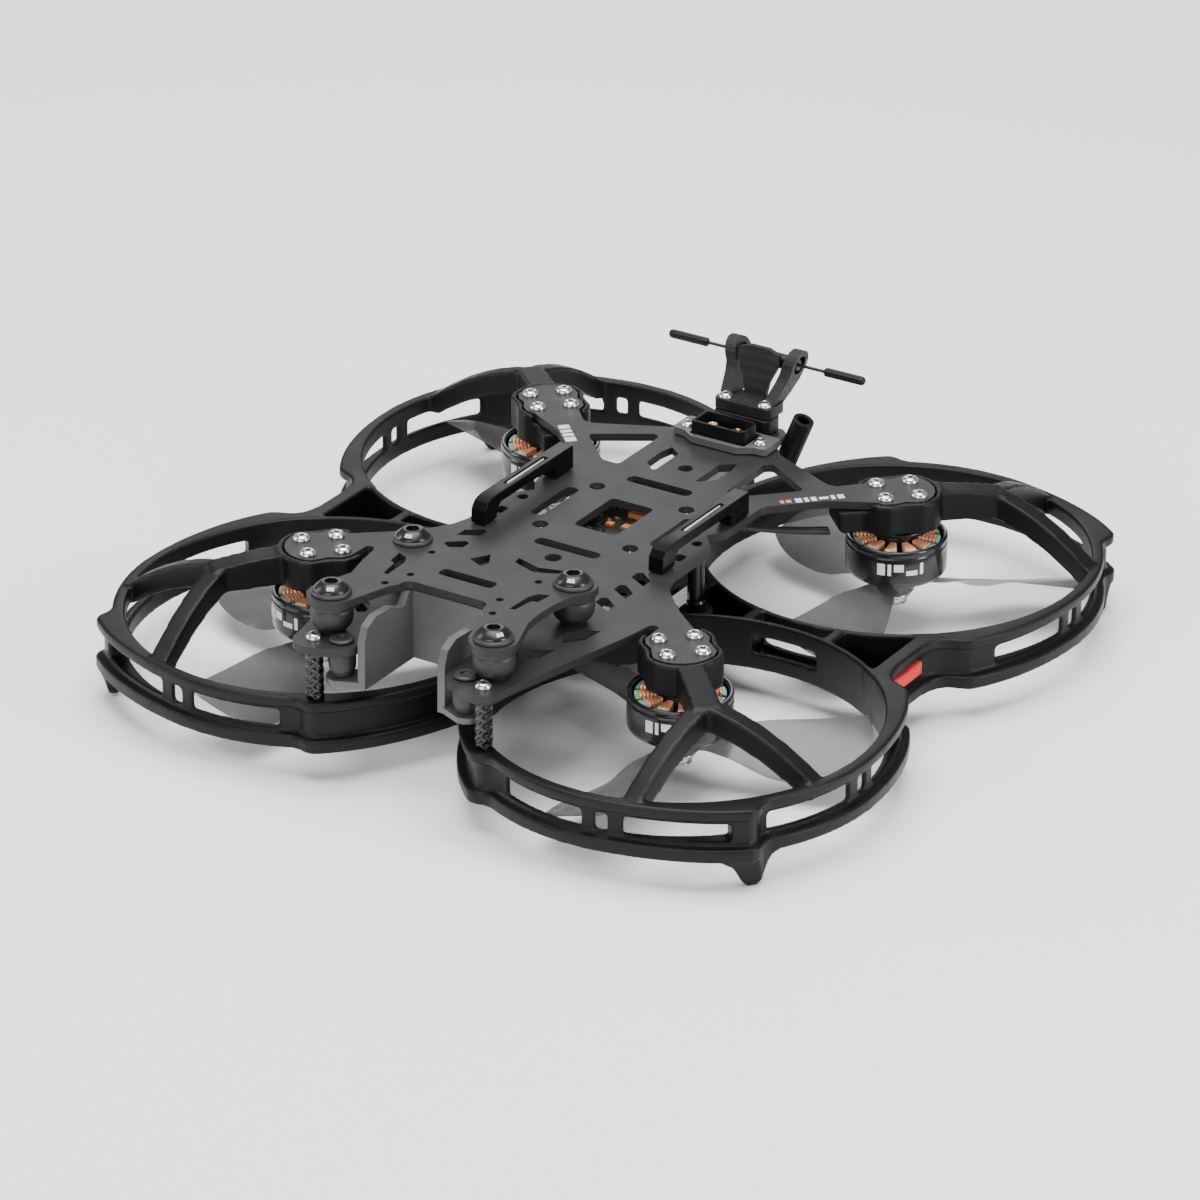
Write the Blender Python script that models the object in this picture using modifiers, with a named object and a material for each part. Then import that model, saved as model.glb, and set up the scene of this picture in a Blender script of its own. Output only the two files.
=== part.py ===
"""Ducted racing drone: pusher quadcopter with two ring-duct mouldings, soft-mounted camera cage.

Every dimension below is in millimetres and is turned into metres by the helpers.
X is the drone's width, -Y is its front, and z = 0 is the floor under its four feet.
The origin lies on the floor, midway between the four motors.
"""

import math

import bmesh
import bpy
from mathutils import Matrix, Vector

MM = 0.001
GAP = 0.3                       # clearance between pieces that touch

# ---- driving dimensions -------------------------------------------------------------------
MOTOR_OFFSET = 50.2             # motor axis from the centre planes, in X and in Y
PLATE_TOP = 35.6
PLATE_THICKNESS = 2.0
PLATE_BOTTOM = PLATE_TOP - PLATE_THICKNESS
DAMPER_TOP = 45.1
DAMPER_THICKNESS = 2.0
DAMPER_BOTTOM = DAMPER_TOP - DAMPER_THICKNESS

RING_TOP = 20.4
RING_BOTTOM = 7.4
RING_INNER = 47.5               # radius of the duct bore
RING_WALL = 48.9                # outer radius of the thin wall
RING_FLANGE = 50.6              # outer radius of the top flange
RING_BEAD = 51.1                # outer radius of the bottom bead
RING_STEPS = 56                 # stations round a ring, away from its teeth
WINDOW_LOW = 11.8
WINDOW_HIGH = 16.1
FOOT_ANGLE = -40.0              # foot, seen from the front right duct's axis
TOOTH_ANGLES = (-122.0, -41.0, 40.7)    # the ring swells to a tooth before each of these
TOOTH_HEIGHTS = (3.1, 3.9, 3.1)
TOOTH_SHAPE = ((-34.0, 0.0), (-26.0, 0.13), (-20.0, 0.28), (-15.0, 0.45), (-10.0, 0.63),
               (-5.0, 0.82), (0.0, 1.0), (1.9, 0.8), (3.9, 0.25), (6.2, 0.0))
FOOT_RADIUS = 51.0
FOOT_REACH = 12.0                 # half the angle the foot may cover
WINDOW_REACH = 58.0             # outer radius of the window cutters
BOSS_TOP = 18.5                 # seat of the side standoff, inside the web's pocket
PLATE_HUB = 9.1                 # lobes of the main plate round the motor screws
DUCT_HUB = 10.9                 # lobes of the duct hub
HUB_WAIST = 2.3                 # how far the hubs are pulled in beside the screws
DUCT_SPLIT = 0.25               # each moulding stops this far from the centre plane

HUB_BOTTOM = 27.6
STEM_HALF = 3.3
STEM_END = 25.3                 # where the stem splits into two spokes
SPOKE_HALF = 2.4
SPOKE_DEPTH = 6.2
SPOKE_SPREAD = 26.5             # angle of each spoke's foot from the diagonal

BELL_RADIUS = 12.5
BELL_TOP = 24.5
BELL_BOTTOM = 14.7
PROP_RADIUS = 45.0
PROP_HEIGHT = 11.3
PROP_PITCH = 88.0
BLADES = 3
BLADE_START = 30.0              # direction of the first blade at rest

STACK_HALF = 12.75              # electronics stack, 25.5 mm square pattern
FRONT_STANDOFF = (23.4, -92.0)
SIDE_STANDOFF = (24.8, -1.9)
UPPER_BALLS = ((22.4, -52.6), (22.4, -86.1))
LOWER_BALL = (17.2, -89.7)
CAGE_HALF = 10.05               # half the clear width between the camera side plates
CAGE_WALL = 2.0
CAGE_BOTTOM = 25.2
FOAM_IN = 79.9                  # inner face of the foam, behind it the web's wall
RAIL_IN = 23.1
RAIL_OUT = 27.1
RAIL_TOP = 41.9
ANTENNA_Y = 71.5
ANTENNA_Z = 51.2
PRONG_LOW = 42.0                # foot of the antenna fork's prongs
PRONG_FOOT = 5.9
PRONG_SPLAY = 0.24
PRONG_RING = 3.9
FIN_LEAN = 0.16

COLLECTION = "ducted_racing_drone"


# ---- scene and materials ------------------------------------------------------------------
def clear_scene():
    for old in list(bpy.data.objects):
        bpy.data.objects.remove(old, do_unlink=True)


def new_collection(name):
    made = bpy.data.collections.new(name)
    bpy.context.scene.collection.children.link(made)
    return made


def material(name, colour, roughness, metallic=0.0, alpha=1.0):
    made = bpy.data.materials.new(name)
    made.use_nodes = True
    shader = made.node_tree.nodes["Principled BSDF"]
    shader.inputs["Base Color"].default_value = (*colour, 1.0)
    shader.inputs["Roughness"].default_value = roughness
    shader.inputs["Metallic"].default_value = metallic
    shader.inputs["Alpha"].default_value = alpha
    return made


# ---- outlines -----------------------------------------------------------------------------
def polar(centre, radius, degrees):
    angle = math.radians(degrees)
    return (centre[0] + radius * math.cos(angle), centre[1] + radius * math.sin(angle))


def arc(centre, radius, start, end, steps):
    """Points on an arc, both ends included."""
    return [polar(centre, radius, start + (end - start) * i / steps) for i in range(steps + 1)]


def circle(centre, radius, steps=20):
    return [polar(centre, radius, 360.0 * i / steps) for i in range(steps)]


def rounded(corners, steps=4):
    """Corners are (x, y, radius); each one becomes a fillet arc of that radius."""
    points = []
    count = len(corners)
    for i, (x, y, radius) in enumerate(corners):
        here = Vector((x, y))
        before = (Vector(corners[i - 1][:2]) - here).normalized()
        after = (Vector(corners[(i + 1) % count][:2]) - here).normalized()
        if radius <= 0.0:
            points.append((x, y))
            continue
        half = before.angle(after) / 2.0
        reach = radius / math.tan(half)
        centre = here + (before + after).normalized() * (radius / math.sin(half))
        start = here + before * reach - centre
        end = here + after * reach - centre
        turn = start.angle_signed(end)
        for step in range(steps + 1):
            spun = start.copy()
            spun.rotate(Matrix.Rotation(-turn * step / steps, 2))
            points.append(tuple(centre + spun))
    return points


def mirrored(points):
    """The outline's mirror image across X = 0, in the same turning sense."""
    return [(-x, y) for x, y in reversed(points)]


# ---- solids -------------------------------------------------------------------------------
def link_mesh(name, mesh):
    made = bpy.data.objects.new(name, mesh)
    bpy.context.scene.collection.objects.link(made)
    return made


def evaluated_mesh(source):
    graph = bpy.context.evaluated_depsgraph_get()
    return bpy.data.meshes.new_from_object(source.evaluated_get(graph), depsgraph=graph)


def weld(mesh, distance=0.002):
    work = bmesh.new()
    work.from_mesh(mesh)
    bmesh.ops.remove_doubles(work, verts=work.verts, dist=distance * MM)
    bmesh.ops.recalc_face_normals(work, faces=work.faces)
    work.to_mesh(mesh)
    work.free()


def slab(name, outline, low, high, holes=()):
    """A flat outline, with holes, between two heights."""
    data = bpy.data.curves.new(name, "CURVE")
    data.dimensions = "2D"
    data.fill_mode = "BOTH"
    data.extrude = (high - low) / 2.0 * MM
    for loop in (outline, *holes):
        spline = data.splines.new("POLY")
        spline.points.add(len(loop) - 1)
        for point, (x, y) in zip(spline.points, loop):
            point.co = (x * MM, y * MM, 0.0, 1.0)
        spline.use_cyclic_u = True
    guide = bpy.data.objects.new(name, data)
    bpy.context.scene.collection.objects.link(guide)
    mesh = evaluated_mesh(guide)
    bpy.data.objects.remove(guide, do_unlink=True)
    mesh.transform(Matrix.Translation((0.0, 0.0, (low + high) / 2.0 * MM)))
    weld(mesh)
    return link_mesh(name, mesh)


def box(name, x, y, z):
    """A box from three (low, high) pairs."""
    outline = [(x[0], y[0]), (x[1], y[0]), (x[1], y[1]), (x[0], y[1])]
    return slab(name, outline, z[0], z[1])


def turned(name, profile, centre, steps=24, closed=False):
    """Screws an (radius, z) profile, listed top to bottom down its outer side."""
    mesh = bpy.data.meshes.new(name)
    edges = [(i, i + 1) for i in range(len(profile) - 1)]
    if closed:
        edges.append((len(profile) - 1, 0))
    mesh.from_pydata([(r * MM, 0.0, z * MM) for r, z in profile], edges, [])
    lathe = link_mesh(name, mesh)
    screw = lathe.modifiers.new("turn", "SCREW")
    screw.steps = steps
    screw.render_steps = steps
    screw.use_merge_vertices = True
    screw.merge_threshold = 0.00001
    made = evaluated_mesh(lathe)
    bpy.data.objects.remove(lathe, do_unlink=True)
    made.transform(Matrix.Translation((centre[0] * MM, centre[1] * MM, 0.0)))
    weld(made)
    return link_mesh(name, made)


def cylinder(name, centre, radius, low, high, steps=24):
    return turned(name, [(0.0, high), (radius, high), (radius, low), (0.0, low)], centre, steps)


def side_slab(name, outline, centre, degrees, half_width):
    """A (distance, z) outline standing on a line from a centre, thickened both ways."""
    made = slab(name, outline, -half_width, half_width)
    stand = Matrix.Rotation(math.radians(90.0), 4, "X")
    turn = Matrix.Rotation(math.radians(degrees), 4, "Z")
    move = Matrix.Translation((centre[0] * MM, centre[1] * MM, 0.0))
    made.data.transform(move @ turn @ stand)
    return made


def sector(name, centre, inner, outer, start, end, low, high, steps=6):
    outline = arc(centre, outer, start, end, steps) + arc(centre, inner, end, start, steps)
    return slab(name, outline, low, high)


def combine(target, tools, operation):
    """Applies an exact boolean of the target with all the tools, and removes the tools."""
    bin_collection = bpy.data.collections.new("cutters")
    bpy.context.scene.collection.children.link(bin_collection)
    for tool in tools:
        bin_collection.objects.link(tool)
        tool.hide_render = True
        tool.display_type = "WIRE"
    change = target.modifiers.new(operation.lower(), "BOOLEAN")
    change.operation = operation
    change.solver = "EXACT"
    change.operand_type = "COLLECTION"
    change.collection = bin_collection
    bpy.context.view_layer.update()
    result = evaluated_mesh(target)
    target.modifiers.clear()
    target.data = result
    for tool in tools:
        bpy.data.objects.remove(tool, do_unlink=True)
    bpy.data.collections.remove(bin_collection)
    return target


def join_shapes(target, tools):
    return combine(target, tools, "UNION")


def cut_shapes(target, tools):
    return combine(target, tools, "DIFFERENCE")


def mirror_copy(source, name, axis):
    """A mirrored copy of a solid across X = 0 or Y = 0."""
    mesh = source.data.copy()
    factor = (-1.0, 1.0, 1.0) if axis == "X" else (1.0, -1.0, 1.0)
    mesh.transform(Matrix.Diagonal((*factor, 1.0)))
    mesh.flip_normals()
    return link_mesh(name, mesh)


def finish(made, name, look, parts, smooth_angle=35.0, axis=None):
    """Names a solid, gives it its material and shading, and files it with the parts."""
    mesh = made.data
    weld(mesh, 0.0005)
    mesh.materials.clear()
    mesh.materials.append(look)
    mesh.shade_smooth()
    mesh.set_sharp_from_angle(angle=math.radians(smooth_angle))
    if axis is not None:
        place = Vector((axis[0] * MM, axis[1] * MM, 0.0))
        mesh.transform(Matrix.Translation(-place))
        made.location = place
    made.name = name
    mesh.name = name
    for owner in list(made.users_collection):
        owner.objects.unlink(made)
    parts.objects.link(made)
    return made


# ---- main plate ---------------------------------------------------------------------------
def hub_radius(turn, base):
    """Lobed hub edge: pulled in beside the motor screws, at 90 degrees to the diagonal."""
    dip = math.exp(-(((abs(turn) - 90.0) / 22.0) ** 2))
    return base - HUB_WAIST * dip


def hub_outline(centre, diagonal, base, start=-180.0, end=180.0, steps=22):
    turns = [start + (end - start) * i / steps for i in range(steps + 1)]
    return [polar(centre, hub_radius(turn, base), diagonal + turn) for turn in turns]


def plate_half():
    """Right half of the main plate's edge, from the rear centre to the front centre."""
    rear = (MOTOR_OFFSET, MOTOR_OFFSET)
    front = (MOTOR_OFFSET, -MOTOR_OFFSET)
    points = [(0.0, 66.0), (8.5, 66.0), (10.5, 64.0), (10.5, 58.5), (15.5, 52.6)]
    points += [(31.5, 45.0), (34.5, 43.8), (36.6, 44.2)]
    points += list(reversed(hub_outline(rear, 45.0, PLATE_HUB, -142.0, 142.0, 16)))
    points += [(38.6, 35.6), (28.2, 25.2), (27.4, 23.2), (27.4, 9.0), (26.4, 6.2)]
    points += [(24.4, 3.4), (28.2, -1.0), (29.2, -2.8), (29.2, -19.2), (30.6, -23.4)]
    points += [(33.2, -27.5), (40.5, -35.0)]
    points += list(reversed(hub_outline(front, -45.0, PLATE_HUB, -128.0, 146.0, 16)))
    points += arc((39.9, -45.9), 1.5, 40.0, 185.0, 4)
    points += [(37.6, -51.5), (28.6, -89.5)]
    points += arc(FRONT_STANDOFF, 5.0, 5.0, -105.0, 5)
    points += [(17.4, -95.4)]
    points += arc(LOWER_BALL, 4.75, -100.0, -176.0, 5)
    points += [(12.4, -64.0)]
    points += arc((8.4, -62.0), 4.0, 0.0, 90.0, 3)
    points += [(0.0, -58.0)]
    return points


def closed_mirror(half):
    """Closes a right half whose ends lie on X = 0 with its mirror image."""
    return half + [(-x, y) for x, y in reversed(half[1:-1])]


def both_sides(loops):
    return loops + [mirrored(loop) for loop in loops]


def lozenge(x, y):
    shape = [(-2.6, 2.3), (-1.3, 3.0), (2.5, 0.1), (2.5, -3.2), (-2.5, -0.4)]
    return [(x + px, y + py) for px, py in shape]


def rectangle(x0, x1, y0, y1, radius):
    return rounded([(x0, y0, radius), (x1, y0, radius), (x1, y1, radius), (x0, y1, radius)], 2)


def plate_holes():
    centred = [
        rectangle(-6.0, 6.0, -8.4, 9.3, 1.2),
        rectangle(-9.0, 9.0, -22.0, -18.6, 1.4),
        rectangle(-9.0, 9.0, 19.5, 23.0, 1.4),
        circle((0.0, -26.5), 2.1, 12),
        circle((0.0, 33.3), 1.9, 12),
        [(-6.7, -31.0), (0.0, -33.0), (6.7, -31.0), (6.4, -33.4), (0.0, -35.5), (-6.4, -33.4)],
    ]
    right = [
        circle((STACK_HALF, STACK_HALF + 0.3), 2.0, 12),
        circle((STACK_HALF, -STACK_HALF + 0.3), 2.0, 12),
        rectangle(15.1, 18.7, -8.5, 9.3, 1.4),
        [(5.9, 39.6), (5.9, 28.6), (6.6, 28.3), (10.0, 31.6), (10.2, 38.0), (9.4, 42.2)],
        lozenge(23.8, -25.1),
        lozenge(23.8, -32.9),
        lozenge(23.8, -40.9),
        [(13.5, -33.0), (16.4, -37.6), (12.0, -39.5), (11.3, -37.0)],
        rounded([(31.2, 37.8, 1.0), (16.9, 46.8, 1.2), (15.3, 45.4, 0.8), (15.3, 26.6, 1.2),
                 (20.2, 27.0, 1.6)], 2),
        circle(LOWER_BALL, 2.7, 14),
        circle((SIDE_STANDOFF[0], SIDE_STANDOFF[1] + 0.2), 1.4, 10),
        rectangle(24.0, 26.6, -12.4, -8.8, 0.6),
        [(24.5, -65.7), (24.0, -59.5), (27.7, -54.7), (30.6, -53.5), (29.9, -59.4)],
        [(21.1, -74.1), (22.4, -70.3), (25.0, -68.7), (26.9, -67.4), (26.2, -72.7), (22.6, -75.6)],
    ]
    return centred + both_sides(right)


def make_main_plate():
    return slab("main_plate", closed_mirror(plate_half()), PLATE_BOTTOM, PLATE_TOP, plate_holes())


# ---- ducts --------------------------------------------------------------------------------
FRONT_RIGHT = (MOTOR_OFFSET, -MOTOR_OFFSET)
REAR_RIGHT = (MOTOR_OFFSET, MOTOR_OFFSET)


def swell(turn):
    """How far the front right ring's outer side stands out at an angle, in its three teeth."""
    for angle, height in zip(TOOTH_ANGLES, TOOTH_HEIGHTS):
        for (a, low), (b, high) in zip(TOOTH_SHAPE, TOOTH_SHAPE[1:]):
            if a <= turn - angle <= b:
                return height * (low + (high - low) * (turn - angle - a) / (b - a))
    return 0.0


def ring_stations():
    """Angles of the ring's cross-sections: even ones, with the teeth's own where it swells."""
    teeth = [angle + a for angle in TOOTH_ANGLES for a, share in TOOTH_SHAPE]
    first, last = TOOTH_SHAPE[0][0], TOOTH_SHAPE[-1][0]
    even = [360.0 * i / RING_STEPS - 180.0 for i in range(RING_STEPS)]
    margin = 180.0 / RING_STEPS
    plain = [turn for turn in even
             if not any(angle + first - margin < turn < angle + last + margin for angle in TOOTH_ANGLES)]
    return sorted(plain + teeth)


def duct_ring(centre):
    """Ring with a round bore, and an outer side that swells to three teeth."""
    profile = [
        (RING_INNER, RING_TOP), (RING_FLANGE, RING_TOP), (RING_FLANGE, 17.8), (RING_WALL, 17.5),
        (RING_WALL, 11.0), (RING_BEAD, 10.6), (RING_BEAD, RING_BOTTOM), (RING_INNER, RING_BOTTOM),
    ]
    hand = 1.0 if centre[1] < 0.0 else -1.0
    stations = ring_stations()
    points = []
    for turn in stations:
        for radius, z in profile:
            reach = radius if radius == RING_INNER else radius + swell(turn)
            x, y = polar(centre, reach, hand * turn)
            points.append((x * MM, y * MM, z * MM))
    size, count = len(profile), len(stations)
    faces = []
    for i in range(count):
        here, there = i * size, (i + 1) % count * size
        for j in range(size):
            k = (j + 1) % size
            faces.append((here + j, there + j, there + k, here + k))
    mesh = bpy.data.meshes.new("ring")
    mesh.from_pydata(points, [], faces)
    weld(mesh)
    return link_mesh("ring", mesh)


def foot(centre):
    """Flared foot under the middle tooth, thinner toward its small flat tip on the floor."""
    side = [(-9.0, 9.0), (8.6, 9.0), (7.0, 7.2), (5.6, 6.6), (4.5, 5.4), (3.0, 2.6), (2.1, 0.9), (1.2, 0.0),
            (-1.2, 0.0), (-2.4, 1.2), (-3.8, 3.9), (-5.2, 5.9), (-7.4, 7.2)]
    across = [(-1.9, 9.0), (-1.9, 5.0), (-1.4, 0.0), (1.1, 0.0), (2.7, 7.4), (2.7, 9.0)]
    shape = slab("foot", side, -3.0, 3.0)
    taper = slab("taper", across, -10.0, 10.0)
    stand = Matrix.Rotation(math.radians(90.0), 4, "X")
    x, y = polar(centre, FOOT_RADIUS, FOOT_ANGLE)
    place = Matrix.Translation((x * MM, y * MM, 0.0))
    shape.data.transform(place @ Matrix.Rotation(math.radians(FOOT_ANGLE + 90.0), 4, "Z") @ stand)
    taper.data.transform(place @ Matrix.Rotation(math.radians(FOOT_ANGLE), 4, "Z") @ stand)
    combine(shape, [taper], "INTERSECT")
    first, last = round(FOOT_ANGLE - FOOT_REACH), round(FOOT_ANGLE + FOOT_REACH)
    rim = [polar(centre, RING_BEAD - 0.15 + swell(t), t) for t in range(first, last + 1)]
    plan = slab("plan", rim + arc(centre, RING_WALL, last, first, 6), -1.0, 9.5)
    return combine(shape, [plan], "INTERSECT")


def spoke_top(t):
    """Height of a spoke's crown, from the split at t = 0 to the ring at t = 1."""
    return 33.3 - 3.1 * t - 9.8 * t * t


def hub_and_spokes(centre, diagonal):
    made = [slab("hub", hub_outline(centre, diagonal, DUCT_HUB)[:-1], HUB_BOTTOM, PLATE_TOP)]
    tail = [(-16.0, 28.6), (-15.0, HUB_BOTTOM + 0.1), (0.0, HUB_BOTTOM + 0.1), (0.0, 33.2), (-16.0, 33.2)]
    made.append(side_slab("tail", tail, centre, diagonal, 5.2))
    stem = [(6.0, HUB_BOTTOM + 0.2), (STEM_END + 1.5, 26.9), (STEM_END + 1.5, 33.1),
            (18.0, 34.6), (9.5, PLATE_TOP - 0.1), (6.0, PLATE_TOP - 0.1)]
    made.append(side_slab("stem", stem, centre, diagonal, STEM_HALF))
    split = Vector(polar(centre, STEM_END - 1.0, diagonal))
    for side in (-1.0, 1.0):
        end = Vector(polar(centre, RING_INNER + 0.9, diagonal + side * SPOKE_SPREAD))
        run = end - split
        steps = 6
        crown = [(run.length * i / steps, spoke_top(i / steps)) for i in range(steps + 1)]
        belly = [(x, z - SPOKE_DEPTH) for x, z in reversed(crown)]
        heading = math.degrees(math.atan2(run.y, run.x))
        made.append(side_slab("spoke", crown + belly, tuple(split), heading, SPOKE_HALF))
    return made


def ring_windows(centre):
    """Wall windows, mirrored about the foot boss: long, short, long, plus one at the web."""
    made = []
    for start, end in ((5.4, 33.6), (38.0, 41.6), (45.6, 72.4)):
        for side in (-1.0, 1.0):
            first = FOOT_ANGLE + side * start
            last = FOOT_ANGLE + side * end
            made.append(sector("window", centre, RING_INNER - 2.0, WINDOW_REACH,
                               min(first, last), max(first, last), WINDOW_LOW, WINDOW_HIGH, 1))
    toward_web = 90.0 if centre[1] < 0.0 else -90.0
    made.append(sector("window", centre, RING_INNER - 2.0, MOTOR_OFFSET + 0.1, toward_web - 10.5,
                       toward_web + 10.5, WINDOW_LOW, WINDOW_HIGH, 1))
    return made


def between_rings(radius, x0, x1, steps=8):
    """Region between the two right-hand circles of one radius, from x0 to x1."""
    def height(x):
        return MOTOR_OFFSET - math.sqrt(radius ** 2 - (x - MOTOR_OFFSET) ** 2)
    xs = [x0 + (x1 - x0) * i / steps for i in range(steps + 1)]
    lower = [(x, -height(x)) for x in xs]
    return lower + [(x, -y) for x, y in reversed(lower)]


def web_block():
    """Web that joins the front and rear rings of one side, with boss for the side standoff."""
    mid = RING_INNER + 0.7
    outer = between_rings(mid, 21.0, 79.0, 12)
    body = slab("web", outer, RING_BOTTOM + 0.15, RING_TOP - 0.05)
    side = [(76.5, 11.0), (82.6, 15.2), (86.0, 16.6), (90.4, 16.6), (90.6, 14.9), (88.9, 13.9),
            (87.1, 13.2), (85.5, 12.4), (84.1, 10.9), (83.2, 8.8), (82.6, 5.6)]
    rim = side + [(x, -y) for x, y in reversed(side)]
    side = [(76.5, 11.0), (82.6, 15.2), (86.0, 16.6), (89.0, 16.6), (88.3, 15.4), (86.2, 14.4),
            (84.0, 13.0), (82.6, 11.2), (81.8, 8.8), (81.4, 5.6)]
    wall = side + [(x, -y) for x, y in reversed(side)]
    bead = [(x + (0.5 if x > 82.0 else 0.0), y) for x, y in rim]
    return [
        body,
        slab("rim", rim, 17.9, RING_TOP - 0.05),
        slab("wall", wall, RING_BOTTOM + 0.15, RING_TOP - 0.1),
        slab("bead", bead, RING_BOTTOM + 0.15, 10.7),
    ]


def web_pockets():
    """Open-topped pockets in the web, and the window that holds the foam."""
    floor = 9.6
    return [
        slab("pocket", between_rings(RING_WALL, 63.3, 78.4, 4), floor, RING_TOP + 1.0),
        slab("pocket", between_rings(RING_WALL, 40.8, 60.4, 4), floor, RING_TOP + 1.0),
        slab("pocket", between_rings(RING_WALL, 22.8, 38.2, 4), floor, RING_TOP + 1.0),
        cylinder("boss_top", SIDE_STANDOFF, 4.8, BOSS_TOP - 0.1, RING_TOP + 2.0, 16),
        box("foam_window", (FOAM_IN - GAP, 85.0), (-8.2, 8.2), (WINDOW_LOW, WINDOW_HIGH)),
    ]


def hub_pocket(centre, diagonal):
    """Recess for the main plate's arm end, the channel for the arm and the four screw holes."""
    floor = PLATE_BOTTOM - GAP
    made = [slab("seat", hub_outline(centre, diagonal, PLATE_HUB + GAP)[:-1], floor, PLATE_TOP + 1.0)]
    channel = [(-18.0, floor), (-3.0, floor), (-3.0, PLATE_TOP + 1.0), (-18.0, PLATE_TOP + 1.0)]
    made.append(side_slab("channel", channel, centre, diagonal, 6.2))
    return made


def make_right_duct():
    duct = duct_ring(FRONT_RIGHT)
    shapes = [duct_ring(REAR_RIGHT)] + web_block()
    cuts = web_pockets()
    for centre, diagonal in ((FRONT_RIGHT, -45.0), (REAR_RIGHT, 45.0)):
        shapes += hub_and_spokes(centre, diagonal)
        cuts += hub_pocket(centre, diagonal)
        group = [foot(FRONT_RIGHT)]
        windows = ring_windows(FRONT_RIGHT)
        if centre is REAR_RIGHT:
            shapes += mirrored_tools(group)
            cuts += mirrored_tools(windows)
        else:
            shapes += group
            cuts += windows
    join_shapes(duct, shapes)
    cuts.append(box("split", (-5.0, DUCT_SPLIT), (-110.0, 110.0), (0.0, 30.0)))
    cut_shapes(duct, cuts)
    return join_shapes(duct, [cylinder("boss", SIDE_STANDOFF, 4.2, RING_BOTTOM + 0.4, BOSS_TOP, 16)])


def mirrored_tools(tools):
    """Mirror images of some tools across Y = 0; the originals are removed."""
    made = []
    for tool in tools:
        made.append(mirror_copy(tool, tool.name, "Y"))
        bpy.data.objects.remove(tool, do_unlink=True)
    return made


# ---- motors and propellers ----------------------------------------------------------------
def motor_base(centre):
    return turned("base", [(2.6, 27.3), (8.4, 27.3), (8.4, 26.3), (5.0, 25.3), (2.6, 25.3)],
                  centre, 18, closed=True)


def stator(centre):
    profile = [(2.1, 25.0), (4.6, 25.0), (4.6, 24.0), (10.9, 24.0), (10.9, 16.8), (2.1, 16.8)]
    return turned("stator", profile, centre, 20, closed=True)


def bell(centre):
    profile = [(0.0, 25.6), (1.6, 25.6), (1.6, 16.4), (11.3, 16.4), (11.3, BELL_TOP),
               (BELL_RADIUS, BELL_TOP), (BELL_RADIUS, 16.6), (11.2, BELL_BOTTOM), (0.0, BELL_BOTTOM)]
    return turned("bell", profile, centre, 24)


def chord(radius):
    """Blade width along the propeller's radius."""
    reach = min(1.0, max(0.0, (radius - 6.0) / (PROP_RADIUS - 6.0)))
    return 6.5 + 13.5 * math.sin(math.pi * 0.62 * reach)


def blade_pitch(radius):
    steepest = math.radians(20.0 + 12.0 * min(1.0, max(0.0, (radius - 12.0) / 6.0)))
    return min(math.atan(PROP_PITCH / (2.0 * math.pi * radius)), steepest)


def blade(centre, degrees, hand):
    """One twisted blade: a curved sheet across radius and chord, thickened by Solidify."""
    radial, across = 7, 3
    vertices = []
    for i in range(radial + 1):
        radius = 3.5 + (PROP_RADIUS - 3.5) * i / radial
        width = chord(radius)
        sweep = 0.10 * radius * math.sin(math.pi * i / radial)
        for j in range(across + 1):
            v = j / across - 0.5
            camber = 1.6 * (0.25 - v * v)
            along = v * width + sweep
            tip = min(radius, math.sqrt(max(0.0, PROP_RADIUS ** 2 - along ** 2)))
            pitch = blade_pitch(radius)
            vertices.append((tip * MM, hand * along * math.cos(pitch) * MM,
                             (PROP_HEIGHT - along * math.sin(pitch) + camber) * MM))
    faces = []
    for i in range(radial):
        for j in range(across):
            a = i * (across + 1) + j
            faces.append((a, a + across + 1, a + across + 2, a + 1))
    mesh = bpy.data.meshes.new("blade")
    mesh.from_pydata(vertices, [], faces)
    sheet = link_mesh("blade", mesh)
    skin = sheet.modifiers.new("thickness", "SOLIDIFY")
    skin.thickness = 1.0 * MM
    skin.offset = 0.0
    made = evaluated_mesh(sheet)
    bpy.data.objects.remove(sheet, do_unlink=True)
    spin = Matrix.Rotation(math.radians(degrees), 4, "Z")
    made.transform(Matrix.Translation((centre[0] * MM, centre[1] * MM, 0.0)) @ spin)
    weld(made)
    return link_mesh("blade", made)


def propeller(centre, hand):
    hub = turned("hub", [(0.0, 14.4), (4.75, 14.4), (4.75, 9.0), (0.0, 9.0)], centre, 16)
    blades = [blade(centre, BLADE_START + 360.0 / BLADES * i, hand) for i in range(BLADES)]
    return join_shapes(hub, blades)


def prop_nut(centre):
    profile = [(0.0, 8.7), (3.9, 8.7), (3.9, 8.0), (2.9, 7.9), (2.9, 5.6), (0.0, 5.6)]
    return turned("nut", profile, centre, 12)


# ---- camera cage --------------------------------------------------------------------------
def damper_outline():
    lobe = 5.9
    rear_x, rear_y = UPPER_BALLS[0]
    front_x, front_y = UPPER_BALLS[1]
    half = [(0.0, -56.6), (9.0, -53.4), (16.0, -49.9)]
    half += arc((rear_x, rear_y), lobe, 125.0, -22.0, 6)
    half += [(25.7, -58.5), (24.5, -63.0), (24.1, -69.5), (24.6, -75.0), (26.3, -80.0)]
    half += arc((front_x, front_y), lobe, 30.0, -160.0, 7)
    half += [(13.2, -76.5)]
    half += arc((9.4, -73.4), 2.2, -15.0, 90.0, 4)
    half += [(0.0, -71.2)]
    return closed_mirror(half)


def damper_holes():
    right = [
        circle((14.9, -55.8), 0.95, 8),
        circle((12.4, -68.4), 0.95, 8),
        circle((14.9, -75.2), 0.95, 8),
        [(16.9, -71.2), (18.2, -70.9), (19.0, -65.3), (20.5, -64.7), (21.1, -60.2), (18.3, -61.3),
         (17.2, -63.6)],
    ]
    return [rectangle(-7.5, 7.5, -64.7, -61.4, 0.9)] + both_sides(right)


def make_damper_plate():
    return slab("damper", damper_outline(), DAMPER_BOTTOM, DAMPER_TOP, damper_holes())


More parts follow.
